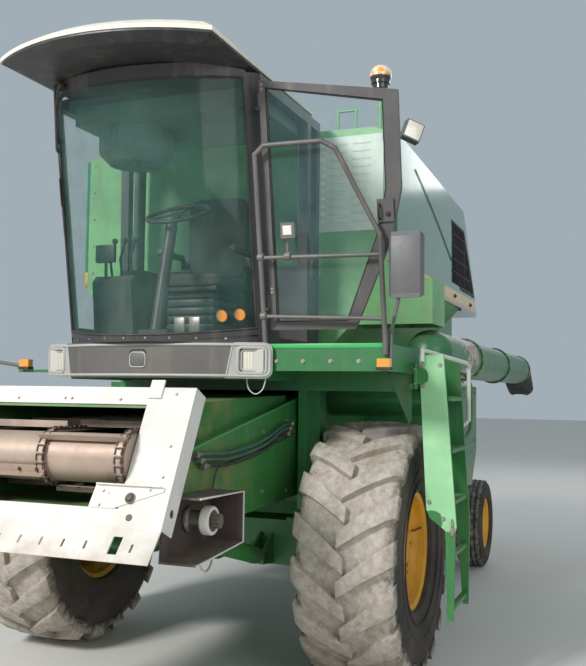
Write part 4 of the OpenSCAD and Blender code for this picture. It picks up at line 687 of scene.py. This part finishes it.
# Roof. A sun bleached cap with a rolled edge over a dark visor; under it hangs the
# round housing of the cab fan with its ring grille.
roof_white = paint("roof_cream_paint", (0.74, 0.70, 0.58), 0.5, 0.35, 0.2, 0.2)
visor_black = paint("visor_dark_plastic", (0.035, 0.035, 0.040), 0.42, 0.35, 0.0, 0.3)
fan_green = paint("fan_grey_green", (0.085, 0.14, 0.115), 0.6, 0.5, 0.0, 0.3)
dress(roof_white, "cab_roof")
dress(visor_black, "roof_visor")
dress(fan_green, "fan_housing")
grille = []
fan_x, fan_y, fan_low = -0.335, -0.560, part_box("fan_housing")[0][2]
for radius in (0.04, 0.075, 0.11, 0.145):
    ring = circle(fan_x, fan_y, fan_low - 0.003, radius, 30, "Z")
    grille.append(bent_rod(ring, 0.004, closed=True, sides=1))
spokes = circle(fan_x, fan_y, fan_low - 0.004, 0.152, 12, "Z")
for near, far in zip(spokes[6:], spokes[:6]):
    grille.append(bent_rod([near, far], 0.0035, sides=1))
for foot in circle(fan_x, fan_y, fan_low + 0.075, 0.231, 24, "Z"):
    grille.append(bent_rod([foot, foot + Vector((0, 0, 0.125))], 0.005, sides=1))
gather(grille, "fan_grille", fan_green)

# Operator's place. A sprung seat with ribbed cloth cushions and armrests, a steering
# wheel on a slim column, a side console with levers, two pedals and a monitor.
seat_cloth = paint("seat_cloth", (0.055, 0.060, 0.055), 0.9, 0.4, 0.0, 0.3)
where = ground(seat_cloth)
weave = put(where.id_data, "TexWave", {"Vector": where, "Scale": 34.0, "Distortion": 0.2},
            wave_type="BANDS", bands_direction="X").outputs[1]
bump(weave, 0.4, 0.002)
seat_z, seat_y = 2.380, -0.500


def cushion(name, low, high, crown, along):
    """A padded cushion: a crowned closed form with sewn channels across it."""
    hands_off()
    low, high = at(*low), at(*high)
    size = high - low
    bpy.ops.mesh.primitive_cube_add(size=1.0, location=(low + high) / 2)
    pad = bpy.context.object
    pad.scale = size
    bpy.ops.object.transform_apply(location=False, rotation=False, scale=True)
    bpy.ops.object.mode_set(mode="EDIT")
    bpy.ops.mesh.subdivide(number_cuts=11)
    bpy.ops.object.mode_set(mode="OBJECT")
    for corner in pad.data.vertices:
        shares = [2 * corner.co[i] / size[i] for i in range(3)]
        round_off = max(1.0, sum(abs(share) ** 7 for share in shares) ** (1 / 7))
        flat = [shares[i] for i in range(3) if i != along]
        rise = (1 - flat[0] ** 2) * (1 - flat[1] ** 2)
        seam = 0.007 * abs(cos(shares[0] * pi * 2.5)) ** 12
        front = copysign(1.0, crown)
        for i in range(3):
            corner.co[i] /= round_off
        if shares[along] * front > 0.2:
            corner.co[along] += crown * rise - front * seam
    soft = pad.modifiers.new("soft", "SUBSURF")
    soft.levels = soft.render_levels = 2
    bpy.ops.object.modifier_apply(modifier="soft")
    place(pad, name, seat_cloth, smooth=60.0)


def seat_block(x, half, y, z, edge):
    """A block of the seat: x and half its width, (y, y) and (z, z) from the cushion's front edge and foot."""
    return block((x - half, seat_y + y[0], seat_z + z[0]), (x + half, seat_y + y[1], seat_z + z[1]), edge)


cushion("seat_cushion", (-0.235, seat_y + 0.005, seat_z + 0.004), (0.235, seat_y + 0.465, seat_z + 0.092),
        0.016, 2)
cushion("seat_backrest", (-0.215, seat_y + 0.425, seat_z + 0.112), (0.215, seat_y + 0.505, seat_z + 0.655),
        -0.012, 1)
seat_parts = [turned(at(0, seat_y + 0.25, 2.051), (0, 0, 1),
                     ((0.110, 0), (0.110, 0.012), (0.095, 0.030), (0.095, 0.062)), 36)]
for i in range(5):
    foot = -0.268 + 0.052 * i
    seat_parts.append(seat_block(0, 0.168 - 0.003 * (i % 2), (0.072, 0.428), (foot, foot + 0.047), 0.012))
seat_parts.append(seat_block(0, 0.205, (0.030, 0.445), (-0.020, 0.020), 0.010))
seat_parts.append(seat_block(0, 0.205, (0.475, 0.508), (0.020, 0.400), 0.010))
for side in (-1, 1):
    seat_parts.append(seat_block(side * 0.262, 0.022, (0.130, 0.435), (0.235, 0.276), 0.010))
    seat_parts.append(seat_block(side * 0.235, 0.030, (0.425, 0.448), (0.175, 0.255), 0.005))
seat_base = gather(seat_parts, "seat_base_and_armrests", visor_black)
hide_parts("operator_seat")
dress(visor_black, "steering_column", "control_console")
pedals = []
for x in (0.13, 0.23):
    pedals.append(block((x - 0.035, -0.80, 2.075), (x + 0.035, -0.785, 2.165), 0.004))
    pedals.append(bent_rod([at(x, -0.787, 2.10), at(x, -0.74, 2.052)], 0.008))
gather(pedals, "foot_pedals", bare_rod)
display = [block((-0.60, -0.60, 2.545), (-0.46, -0.565, 2.66), 0.008),
           bent_rod([at(-0.53, -0.575, 2.445), at(-0.53, -0.58, 2.56)], 0.010)]
gather(display, "console_display", visor_black)

# Light bar. A bowed grey moulding with a raised rim, square headlamps in pale bezels,
# a blank plate in its middle and a row of fasteners on the pan above it.
bar_grey = paint("light_bar_grey", (0.115, 0.108, 0.105), 0.5, 0.5, 0.05, 0.4)
bar_z, lamp_x = 1.908, 0.645
where = ground(bar_grey)
apart = axes(where)
across = maths("ABSOLUTE", apart[0])
slope = maths("MULTIPLY", maths("SUBTRACT", apart[2], bar_z), 0.24)
end = span(maths("SUBTRACT", across, slope), 0.529, 0.531)
pale = blend(span(cloud(where, 12.0), 0.35, 0.65), rgb(0.36, 0.35, 0.33), rgb(0.46, 0.45, 0.42))
overlay(bar_grey, end, pale)
rim_grey = paint("light_bar_rim", (0.46, 0.45, 0.42), 0.5, 0.35, 0.1, 0.2)
dress(bar_grey, "light_bar")
bar_depth = 0.190
bar_radius = (0.749 ** 2 + bar_depth ** 2) / (2 * bar_depth)


def on_bar(x, z, proud=0.0):
    """A place on the bowed front of the light bar."""
    radius = bar_radius + proud
    return at(x, -0.847 - bar_depth + bar_radius - sqrt(radius * radius - x * x), z)


def round_square(half_x, half_z, corner, steps=5):
    """Outline of a square with round corners, as (x, z) places."""
    line = []
    for quarter, (sx, sz) in enumerate(((1, 1), (-1, 1), (-1, -1), (1, -1))):
        for i in range(steps + 1):
            a = radians(90 * quarter + 90 * i / steps)
            line.append((sx * (half_x - corner) + corner * cos(a), sz * (half_z - corner) + corner * sin(a)))
    return line


long_edge = []
outline = round_square(0.735, 0.086, 0.036)
for (x0, z0), (x1, z1) in zip(outline, outline[1:] + outline[:1]):
    steps = 24 if abs(x1 - x0) > 0.3 else 1
    for i in range(steps):
        long_edge.append(on_bar(x0 + (x1 - x0) * i / steps, bar_z + z0 + (z1 - z0) * i / steps, 0.001))
bar_rim = [bent_rod(long_edge, 0.008, closed=True)]
for side in (-1, 1):
    bar_rim.append(bent_rod([on_bar(side * 0.515, 1.825), on_bar(side * 0.545, 1.991)], 0.005))
gather(bar_rim, "light_bar_rim", rim_grey)
lens_clear = paint("headlamp_lens", (0.74, 0.70, 0.60), 0.12, 0.2, 0.0, 0.15, coat=0.9)
bezels = []
for x in (-lamp_x, lamp_x):
    outline = round_square(0.072, 0.072, 0.022)
    for size, back, thick in ((1.0, -0.001, 0.009), (0.80, 0.010, 0.006)):
        edge = [Vector((x + u * size, on_bar(x + u * size, bar_z).y + back, bar_z + w * size))
                for u, w in outline]
        bezels.append(bent_rod(edge, thick, closed=True))
gather(bezels, "headlamp_bezels", rim_grey)
for side, label in ((1, "left"), (-1, "right")):
    x = side * lamp_x
    ribs = [block((x - 0.054, -0.886, 1.854), (x + 0.054, -0.868, 1.962), 0.008)]
    for i in range(7):
        u = x - 0.045 + 0.015 * i
        ribs.append(bent_rod([at(u, -0.8865, 1.862), at(u, -0.8865, 1.954)], 0.0025, sides=1))
    lens = gather(ribs, f"headlamp_lens_{label}", lens_clear)
    for corner in lens.data.vertices:
        corner.co.y += on_bar(corner.co.x, bar_z).y + 0.012 - at(0, -0.886, 0).y
plate_line = round_square(0.050, 0.041, 0.020)
plate_rim = bent_rod([on_bar(u, bar_z + w, 0.002) for u, w in plate_line], 0.004, closed=True)
place(plate_rim, "blank_plate_rim", rim_grey)
plate = block((-0.046, -1.041, 1.871), (0.046, -1.0372, 1.945), 0.002)
place(plate, "blank_plate", bar_grey)
pan_radius = 0.8051
pan_spots = []
for i in range(8):
    x = -0.49 + 0.14 * i
    bow = sqrt(pan_radius ** 2 - x * x)
    pan_spots.append((at(x, -0.273 - bow, 2.030), (x, -bow, 0)))
bolts("pan_fasteners", pan_spots, 0.006, steel_bolt)
hose("light_bar_lead",
     [at(0.600, -0.860, 1.812), at(0.602, -0.862, 1.785), at(0.618, -0.864, 1.745), at(0.655, -0.862, 1.722),
      at(0.692, -0.856, 1.745), at(0.706, -0.850, 1.785), at(0.708, -0.846, 1.812)],
     0.007, lead_white)

# Markers, work light and beacon. Amber lenses on black feet, a square work light in a
# black housing and a round beacon, pale and orange, on a dark foot.
amber = paint("amber_lens", (0.80, 0.33, 0.05), 0.2, 0.25, 0.0, 0.3, coat=0.6)
where = ground(amber)
apart = axes(where)
patchy = span(cloud(where, 14.0, 4.0), 0.44, 0.56)
ball = blend(patchy, rgb(0.80, 0.36, 0.06), rgb(0.86, 0.74, 0.52))
overlay(amber, span(apart[2], 3.20, 3.21), rgb(0.035, 0.030, 0.028))
overlay(amber, span(apart[2], 3.815, 3.820), ball)
across = maths("ABSOLUTE", apart[0])
overlay(amber, span(across, 0.73, 0.74, 1.0, 0.0), rgb(0.55, 0.53, 0.46))
dress(amber, "lamps")
marker_parts = []
for x, y in ((1.383, -0.8403), (-0.950, -0.812)):
    marker_parts.append(block((x - 0.036, y - 0.030, 1.8575), (x + 0.046, y + 0.024, 1.874), 0.004))
gather(marker_parts, "marker_feet", seal_rubber)
turn = Matrix.Rotation(radians(35), 4, "Z") @ Matrix.Rotation(radians(20), 4, "Y")
glass = block((-0.053, -0.041, -0.053), (0.053, -0.034, 0.053), 0.003)
to_origin = Matrix.Translation((0, -front_axle_y, 0))
glass.data.transform(Matrix.Translation(at(1.310, 0.060, 3.400)) @ turn @ to_origin)
place(glass, "work_light_lens", lens_clear)

# Platform, handrails and mirrors. Green folded frame with a raised tread plate, worn
# grey tubes, and mirrors whose glass is set in dark shells on bent arms.
rail_grey = paint("rail_grey", (0.12, 0.11, 0.105), 0.42, 0.3, 0.8, 0.4)
mirror_shell = paint("mirror_shell", (0.12, 0.12, 0.125), 0.45, 0.35, 0.0, 0.25)
dress(frame_green, "platform")
dress(rail_grey, "handrails")
dress(mirror_shell, "mirrors")
stud = turned((0, 0, 0), (0, 0, 1), ((0.0045, -0.001), (0.0045, 0.0015), (0.0025, 0.003)), 8)
stud.data.transform(Matrix.Diagonal((1.0, 3.2, 1.0, 1.0)))
moves = []
for i in range(23):
    for k in range(31):
        slant = Matrix.Rotation(radians(45 if (i + k) % 2 else -45), 4, "Z")
        moves.append(Matrix.Translation(at(0.715 + 0.030 * i, -0.805 + 0.030 * k, 2.0)) @ slant)
studs = copies(stud.data, moves)
bpy.data.objects.remove(stud)
gather(studs, "platform_tread_studs", frame_green, smooth=0)
# A bright green strip along the platform's front edge is a painted highlight; the feeder's top edges take the same
# finish.
edge_highlight_green = paint("painted_edge_highlight", (0.05, 0.42, 0.12), 0.35, 0.2, 0.2, 0.2)
edge = block((0.70, -0.8235, 1.978), (1.404, -0.8195, 2.003), 0.0015)
place(edge, "platform_edge_highlight", edge_highlight_green)
edge_spots = [(at(x, -0.820, 1.905), (0, -1, 0)) for x in (0.76, 0.92, 1.08, 1.24, 1.37)]
bolts("platform_bolts", edge_spots, 0.010, steel_bolt)
mirror_glass = paint("mirror_glass", (0.62, 0.66, 0.66), 0.06, 0.12, 0.0, 0.1, metal=0.9)
left_glass = block((1.452, -0.9605, 2.250), (1.608, -0.9585, 2.550), 0.001)
place(left_glass, "left_mirror_back_seam", mirror_shell)
for label, x, y, z, half_x, half_z in (
        ("left", 1.530, -0.960, 2.400, 0.081, 0.1465), ("right", -1.582, -0.720, 2.430, 0.086, 0.159)):
    face = block((x - half_x, y + 0.0275, z - half_z), (x + half_x, y + 0.0305, z + half_z), 0.0014)
    place(face, f"{label}_mirror_glass", mirror_glass)
cab_foot = -0.850
small, small_way = leaning(0.880, -0.0403, 0.5325, foot=cab_foot), Vector((0, -cos(lean), -sin(lean)))
small_glass = turned(small, small_way, ((0.036, 0.0), (0.036, 0.003), (0.030, 0.005)), 4)
upright = Matrix.Rotation(radians(45), 4, small_way)
small_glass.data.transform(Matrix.Translation(small) @ upright @ Matrix.Translation(-small))
place(small_glass, "small_mirror_face", lens_clear, smooth=0)
clamps = []
for x, z in ((0.862, 0.392), (0.700, 0.392), (0.699, 0.066)):
    spot = leaning(x, 0.0, z, foot=cab_foot) - Vector((0.018, 0, 0))
    clamps.append(turned(spot, (1, 0, 0), ((0.019, 0), (0.024, 0.004), (0.024, 0.032), (0.019, 0.036)), 20))
gather(clamps, "handrail_clamps", rail_grey)

# Ladder. Green folded plates with pressed treads and a white grab rail, the plates' front faces painted light
# mint as painted sunlight; it swings on two hinge pins at the platform's corner.
ladder_green = paint("ladder_green", (0.020, 0.20, 0.045), 0.35, 0.5, 0.3, 0.35)
# The plates' front faces, except low down and at two round spots, take a lighter mint green: painted sunlight.
where = ground(ladder_green)
apart = axes(where)
ragged = span(cloud(where, 30.0, 6.0), 0.3, 0.7, -0.006, 0.006)
high_up = span(maths("ADD", apart[2], ragged), 0.955, 0.965)
face = times(span(apart[1], front_axle_y - 0.3485, front_axle_y - 0.3475, 1.0, 0.0), high_up)
for x, z, reach in ((1.462, 1.835, 0.052), (1.535, 1.015, 0.060)):
    off = away(where, (x, front_axle_y - 0.350, z))
    face = times(face, span(maths("ADD", off, ragged), reach - 0.002, reach + 0.002))
sunlit_mint = blend(span(cloud(where, 4.0), 0.35, 0.65), rgb(0.26, 0.56, 0.27), rgb(0.36, 0.66, 0.36))
overlay(ladder_green, face, sunlit_mint)
white_tube = paint("white_grab_rail", (0.66, 0.70, 0.60), 0.4, 0.3, 0.6, 0.25)
dress(ladder_green, "ladder")
dress(white_tube, "ladder_rail")
grips = []
first_tread, tread_pitch = 0.510, 0.296
for i in range(5):
    z = first_tread + tread_pitch * i
    x = 1.620 if z < 0.9 else 1.504 + (z - 1.130) * -0.0024
    wide = min(x + 0.14, 1.645)
    for k in range(12):
        y = -0.315 + 0.0365 * k
        grips.append(block((x, y, z + 0.0215), (wide, y + 0.010, z + 0.028), 0.002))
gather(grips, "ladder_tread_grips", ladder_green, "swing_ladder")
ladder_spots = [(at(x, -0.350, z), (0, -1, 0)) for x, z in (
    (1.480, 1.90), (1.580, 1.90), (1.480, 1.78), (1.655, 0.975), (1.600, 1.03), (1.520, 1.12))]
bolts("ladder_bolts", ladder_spots, 0.010, steel_bolt, "swing_ladder")
clip = [block((1.640, -0.3565, 0.940), (1.662, -0.3495, 0.985), 0.002),
        bent_rod(smooth_path([at(1.651, y, z) for y, z in ((-0.357, 0.985), (-0.368, 1.010), (-0.352, 1.030))], 4),
                 0.004)]
gather(clip, "ladder_fold_clip", steel_bolt, "swing_ladder")
hoop = smooth_path([at(1.600, 0.129, 1.865), at(1.632, 0.175, 1.850), at(1.655, 0.215, 1.780),
                    at(1.660, 0.222, 1.650), at(1.655, 0.205, 1.530), at(1.636, 0.165, 1.475),
                    at(1.612, 0.129, 1.470)], 5)
place(bent_rod(hoop, 0.011), "ladder_rear_hoop", frame_green, "swing_ladder")

# Door. A dusty dark frame with a thick rear post round a clear pane, hung on two
# pins; a black latch box with its handle sits on the rear post.
door_dark = paint("door_dusty_dark", (0.085, 0.080, 0.080), 0.5, 0.6, 0.3, 0.4, dirt=(0.30, 0.25, 0.20))
dress(door_dark, "cab_door")


def on_door(x, y, z):
    """A place on the open door, measured from the foot of its hinge line."""
    return leaning(0.716 + x, y, z, foot=-0.788)


pane_edge = [(0.044, 0.042), (0.454, 0.042), (0.636, 0.482), (0.698, 0.730), (0.698, 1.190), (0.044, 1.324)]
door_seals = [bent_rod([on_door(x, y, z) for x, z in pane_edge], 0.006, closed=True) for y in (-0.006, 0.006)]
gather(door_seals, "door_glass_seal", seal_rubber, "door")
door_out = on_door(0, -1, 0) - on_door(0, 0, 0)
handle = [on_door(0.665, y, z)
          for y, z in ((-0.030, 0.655), (-0.050, 0.640), (-0.050, 0.590), (-0.030, 0.575))]
grip = [on_door(0.735, y, z) for y, z in ((0.017, 0.70), (0.045, 0.72), (0.045, 0.90), (0.017, 0.92))]
latch = [bent_rod(smooth_path(handle, 4), 0.006),
         turned(on_door(0.710, -0.030, 0.600), door_out, ((0.013, 0), (0.013, 0.006), (0.009, 0.009)), 20),
         bent_rod(smooth_path(grip, 4), 0.008)]
gather(latch, "door_latch_and_grip", seal_rubber, "door")
hinge_spots = [(on_door(0.022, -0.0175, z), door_out) for z in (0.205, 0.225, 1.320, 1.345)]
bolts("door_hinge_bolts", hinge_spots, 0.007, steel_bolt, "door")

# Feeder house. Green folded sheet, dusty and scratched, with a painted highlight along its top edge, bolted
# seams, and hoses and wires that run back from the header drive.
feeder_green = paint("feeder_green", (0.024, 0.20, 0.04), 0.35, 0.5, 0.45, 0.35)
where = ground(feeder_green)
forward = span(axes(where)[1], front_axle_y - 1.10, front_axle_y - 0.75, 1.0, 0.0)
olive = times(forward, span(cloud(where, 4.5, 8.0, 0.65), 0.42, 0.62, 0.0, 0.75))
overlay(feeder_green, olive, rgb(0.20, 0.22, 0.07))
dress(feeder_green, "feeder_house", "lift_barrels")
soften(0.003, "feeder_house")
seams = ((-1.076, 1.429), (-1.072, 1.344), (-0.62, 1.50), (-0.62, 1.16), (-1.20, 1.14), (-0.90, 1.11),
         (-0.25, 1.56), (-0.25, 1.13))
bolts("feeder_side_bolts", both_sides(0.600, seams), 0.010, steel_bolt, "feeder")
# Bright green rods along the feeder's top edges are a painted highlight.
edge_highlights = [bent_rod([at(x, -1.52, 1.4445), at(x, -0.06, 1.6935)], 0.006) for x in (-0.598, 0.598)]
gather(edge_highlights, "feeder_top_edge_highlights", edge_highlight_green, "feeder")
strip_orange = paint("plain_orange_strip", (0.60, 0.16, 0.03), 0.5, 0.4, 0.0, 0.3)
strip = block((0.5995, -1.54, 1.190), (0.6010, -1.33, 1.226), 0.0005)
place(strip, "plain_orange_strip", strip_orange, "feeder")
fittings = []
rise = 0.115
for number, (y, z, thick, finish) in enumerate((
        (-1.50, 1.425, 0.018, hose_teal), (-1.46, 1.395, 0.018, hose_teal),
        (-1.42, 1.365, 0.016, lead_black)), 1):
    back = -0.20 - 0.03 * number
    for end_y, end_z, way in ((y, z, 1), (back, z + rise, -1)):
        fittings.append(block((0.5995, end_y - 0.014, end_z - 0.014), (0.643, end_y + 0.014, end_z + 0.014),
                              0.003))
        fittings.append(turned(at(0.628, end_y + way * 0.012, end_z), (0, way, 0),
                               ((0.014, 0), (0.014, 0.014), (0.011, 0.016), (0.011, 0.030)), 6))
    last = back - 0.036
    hose(f"feeder_hose_{number}",
         [at(0.628, y + 0.036, z), at(0.629, y + 0.16, z - 0.004), at(0.631, -1.15, z - 0.012),
          at(0.632, -0.85, z + 0.010), at(0.631, -0.60, z + 0.050),
          at(0.629, last - 0.12, z + rise - 0.010), at(0.628, last, z + rise)],
         thick, finish, "feeder")
gather(fittings, "hose_fittings", bare_rod, "feeder")
hose("feeder_side_cable",
     [at(0.604, -0.120, 1.475), at(0.612, -0.16, 1.473), at(0.611, -0.45, 1.430), at(0.611, -0.85, 1.385),
      at(0.612, -1.18, 1.352), at(0.614, -1.245, 1.330), at(0.612, -1.275, 1.270), at(0.610, -1.290, 1.210),
      at(0.604, -1.295, 1.190)],
     0.008, lead_black, "feeder")
clips = [block((0.5995, y - 0.012, z - 0.012), (0.607, y + 0.012, z + 0.012), 0.002)
         for y, z in ((-0.120, 1.475), (-1.295, 1.190), (-0.62, 1.408), (-1.00, 1.371))]
gather(clips, "cable_clips", bare_rod, "feeder")

# Front frame. Thick pale primer sheet, painted up to nearly white as painted sunlight, with bolted corners,
# gussets, a latch tab and slots along its lower lip; rust at its corners.
# The sheet's near-white tone is pale primer raised by painted sunlight.
pale_sunlit_sheet = paint("pale_sheet_painted_sunlight", (0.74, 0.73, 0.68), 0.55, 0.35, 0.55, 0.15, dirt=(0.44, 0.34, 0.25))
where = ground(pale_sunlit_sheet)
low_down = span(axes(where)[2], 0.98, 1.16, 1.0, 0.0)
scuff = times(span(low_down, 0.0, 1.0, 0.22, 1.0), span(cloud(where, 5.0, 9.0, 0.6), 0.36, 0.72))
overlay(pale_sunlit_sheet, scuff, rgb(0.46, 0.33, 0.24))
dress(pale_sunlit_sheet, "front_plate_frame")
soften(0.003, "front_plate_frame")
frame_tilt = radians(-26.4)


def on_frame(x, y, z):
    """A place on the tilted front frame: x across, y behind its face, z up from its top edge."""
    dy, dz = y * cos(frame_tilt) - z * sin(frame_tilt), y * sin(frame_tilt) + z * cos(frame_tilt)
    return at(x, -1.646 + dy, 1.751 + dz)


face_out = on_frame(0, -1, 0) - on_frame(0, 0, 0)
frame_spots = []
for side in (-1, 1):
    for x, z in ((0.301, -0.067), (0.020, -0.064), (0.600, -0.035), (0.357, -0.531),
                 (0.597, -0.516), (0.354, -0.600), (0.640, -0.30), (0.640, -0.45)):
        proud = -0.006 if z < -0.51 else 0.0
        frame_spots.append((on_frame(side * x, proud, z), face_out))
bolts("front_frame_bolts", frame_spots, 0.007, steel_bolt, "feeder")
rings = []
for side in (-1, 1):
    for x, y, z, steps in (
            (0.508, -0.006, -0.560,
             ((0.026, 0), (0.026, 0.003), (0.018, 0.004), (0.013, 0.012), (0.008, 0.013))),
            (0.524, -0.0005, -0.648, ((0.016, 0), (0.016, 0.0015), (0.0135, 0.002), (0.0130, 0.0008)))):
        rings.append(turned(on_frame(side * x, y, z), face_out, steps, 28))
gather(rings, "front_frame_washers", dark_nut, "feeder")

# Conveyor. Three roller chains with steel slats run round a drum; the crop has worn
# them bright, with a brown film.
worn_steel = paint("worn_conveyor_steel", (0.42, 0.315, 0.25), 0.42, 0.4, 0.5, 0.35, metal=0.35)
dress(worn_steel, "conveyor")
drum_y, drum_z = -1.752, 1.412
shaft_y, shaft_z = 0.150, 1.408
loop_radius = 0.134
link_count = 112
run = hypot(shaft_y - drum_y, shaft_z - drum_z)
tilt = atan2(shaft_z - drum_z, shaft_y - drum_y)


def on_loop(x, s, out=0.0):
    """A place on the conveyor's loop at distance s, and the way out from it."""
    bend = pi * loop_radius
    s %= 2 * run + 2 * bend
    if s < run:
        y, z, turn = s, loop_radius, pi / 2
    elif s < run + bend:
        turn = pi / 2 - (s - run) / loop_radius
        y, z = run + loop_radius * cos(turn), loop_radius * sin(turn)
    elif s < 2 * run + bend:
        y, z, turn = 2 * run + bend - s, -loop_radius, -pi / 2
    else:
        turn = -pi / 2 - (s - 2 * run - bend) / loop_radius
        y, z = loop_radius * cos(turn), loop_radius * sin(turn)
    y, z = y + out * cos(turn), z + out * sin(turn)
    way = Vector((0, cos(turn + tilt), sin(turn + tilt)))
    dy, dz = y * cos(tilt) - z * sin(tilt), y * sin(tilt) + z * cos(tilt)
    return at(x, drum_y + dy, drum_z + dz), way


chain_brown = paint("chain_brown", (0.085, 0.055, 0.042), 0.45, 0.3, 0.8, 0.35, metal=0.4)
plates = [block((x - 0.00165, -0.017, -0.009), (x + 0.00165, 0.017, 0.009), 0.004)
          for x in (-0.01685, 0.01685)]
for plate in plates:
    plate.data.transform(to_origin)
roller = turned((-0.021, 0.013, 0), (1, 0, 0), ((0.006, 0), (0.006, 0.042)), 10)
link = gather(plates + [roller], "link", worn_steel, "feeder", 30.0)
link_mesh = link.data.copy()
bpy.data.objects.remove(link)
pitch = (2 * run + 2 * pi * loop_radius) / link_count
for label, x in (("right", -0.430), ("middle", 0.0), ("left", 0.430)):
    moves = []
    for i in range(link_count):
        spot, way = on_loop(x, i * pitch, 0.002)
        ahead = way.cross(Vector((1, 0, 0)))
        moves.append(Matrix.Translation(spot) @ Matrix((Vector((1, 0, 0)), ahead, way)).transposed().to_4x4())
    gather(copies(link_mesh, moves), f"conveyor_chain_{label}", chain_brown, "feeder", 30.0)
slat_spots = []
slat_pitch = 8 * pitch
for i in range(14):
    for start, xs in ((0.2, (-0.40, -0.30, -0.12, -0.02)), (0.7, (0.02, 0.12, 0.30, 0.40))):
        slat_spots += [on_loop(x, (i + start) * slat_pitch, 0.008) for x in xs]
bolts("slat_bolts", slat_spots, 0.008, dark_nut, "feeder")

# Header drive. A brown, open folded guard with pale worn edges round the shaft's end:
# a grey sleeve and a thick white collar that locks on the header's coupling.
drive_brown = paint("drive_guard_dark", (0.075, 0.055, 0.05), 0.5, 0.6, 0.8, 0.4)
collar_white = paint("collar_white", (0.72, 0.70, 0.64), 0.5, 0.4, 0.3, 0.2)
dress(drive_brown, "header_drive")
drive_y, stub_z = -1.540, 1.120
collar_steps = ((0.067, 0), (0.070, 0.004), (0.070, 0.040), (0.066, 0.046), (0.052, 0.047), (0.050, 0.043))
collar = turned(at(0.7005, drive_y, stub_z), (1, 0, 0), collar_steps, 48)
place(collar, "drive_collar", collar_white, "feeder")
sleeve_steps = ((0.062, 0), (0.062, 0.010), (0.050, 0.016), (0.0455, 0.020), (0.0455, 0.080))
sleeve = [turned(at(0.612, drive_y, stub_z), (1, 0, 0), sleeve_steps, 36)]
for spot in circle(0.622, drive_y, stub_z, 0.054, 6, "X"):
    sleeve.append(turned(spot, (1, 0, 0), ((0.006, 0), (0.006, 0.006)), 6))
for spot in circle(0.748, drive_y, stub_z, 0.0325, 10, "X"):
    sleeve.append(bent_rod([spot, spot + Vector((0.036, 0, 0))], 0.0032, sides=1))
gather(sleeve, "drive_sleeve_and_splines", bare_rod, "feeder")
edges = [at(0.7895, y, z) for y, z in ((-1.768, 1.247), (-1.293, 1.237), (-1.293, 0.988), (-1.797, 0.953))]
place(bent_rod(edges, 0.005), "drive_guard_edge", collar_white, "feeder")
hose("guard_drain_hose",
     [at(0.700, -1.60, 0.966), at(0.702, -1.60, 0.935), at(0.706, -1.575, 0.895), at(0.708, -1.530, 0.876),
      at(0.706, -1.480, 0.900), at(0.700, -1.455, 0.940), at(0.698, -1.453, 0.976)],
     0.012, lead_white, "feeder")

# Lift cylinders. Green barrels with gland rings and ground rods on pins at both ends.
dress(bare_rod, "lift_rods")
foot, eye = Vector((0, -0.260, 0.715)), Vector((0, -1.250, 0.985))
push = (eye - foot).normalized()
glands, pins = [], []
gland_steps = ((0.0525, 0), (0.0565, 0.003), (0.0565, 0.034), (0.050, 0.041), (0.034, 0.042))
port_steps = ((0.016, -0.010), (0.016, 0.010), (0.012, 0.012), (0.012, 0.024))
pin_steps = ((0.024, 0), (0.024, 0.003), (0.0165, 0.004), (0.0165, 0.007))
for x in (-0.430, 0.430):
    glands.append(turned(at(x, *(foot + push * 0.580).yz), push, gland_steps, 32))
    glands.append(turned(at(x, *(foot + push * 0.120).yz) + Vector((0, 0, 0.050)), (0, 0, 1), port_steps, 6))
    for side in (-1, 1):
        pins.append(turned(at(x + side * 0.047, *foot.yz), (side, 0, 0), pin_steps, 20))
gather(glands, "lift_cylinder_glands", feeder_green, "lift_cylinder_barrels")
gather(pins, "lift_pin_washers", dark_nut)

# Unloading auger. A long green tube, rubbed to brown primer near its first joint, with
# bolted flanges, and a rubber spout held by two clamp bands.
tube_green = paint("tube_green", (0.02, 0.17, 0.055), 0.32, 0.4, 0.5, 0.3)
spout_black = paint("spout_rubber", (0.02, 0.02, 0.021), 0.7, 0.3, 0.0, 0.3)
where = ground(tube_green)
along = axes(where)[1]
near = times(span(along, front_axle_y + 0.70, front_axle_y + 0.95),
             span(along, front_axle_y + 1.60, front_axle_y + 1.45))
rubbed = times(near, span(cloud(where, 7.0, 6.0), 0.44, 0.50))
tone = blend(span(cloud(where, 24.0), 0.42, 0.55), rgb(0.20, 0.10, 0.06), rgb(0.55, 0.50, 0.42))
overlay(tube_green, rubbed, tone)
dress(tube_green, "unloading_tube")
dress(spout_black, "auger_spout")
tube_x, tube_z = 1.362, 2.0
flange_spots = [(spot, (0, -1, 0)) for y in (1.500, 3.000)
                for spot in circle(tube_x, y, tube_z, 0.157, 10, "Y")]
bolts("auger_flange_bolts", flange_spots, 0.007, steel_bolt, "unloading_auger")
bands = []
for y, radius, thick in ((1.5205, 0.1645, 0.0025), (3.0205, 0.1645, 0.0025), (4.625, 0.1560, 0.005),
                         (4.650, 0.1560, 0.005)):
    bands.append(bent_rod(circle(tube_x, y, tube_z, radius, 45, "Y"), thick, closed=True, sides=1))
gather(bands, "auger_bands", steel_bolt, "unloading_auger")
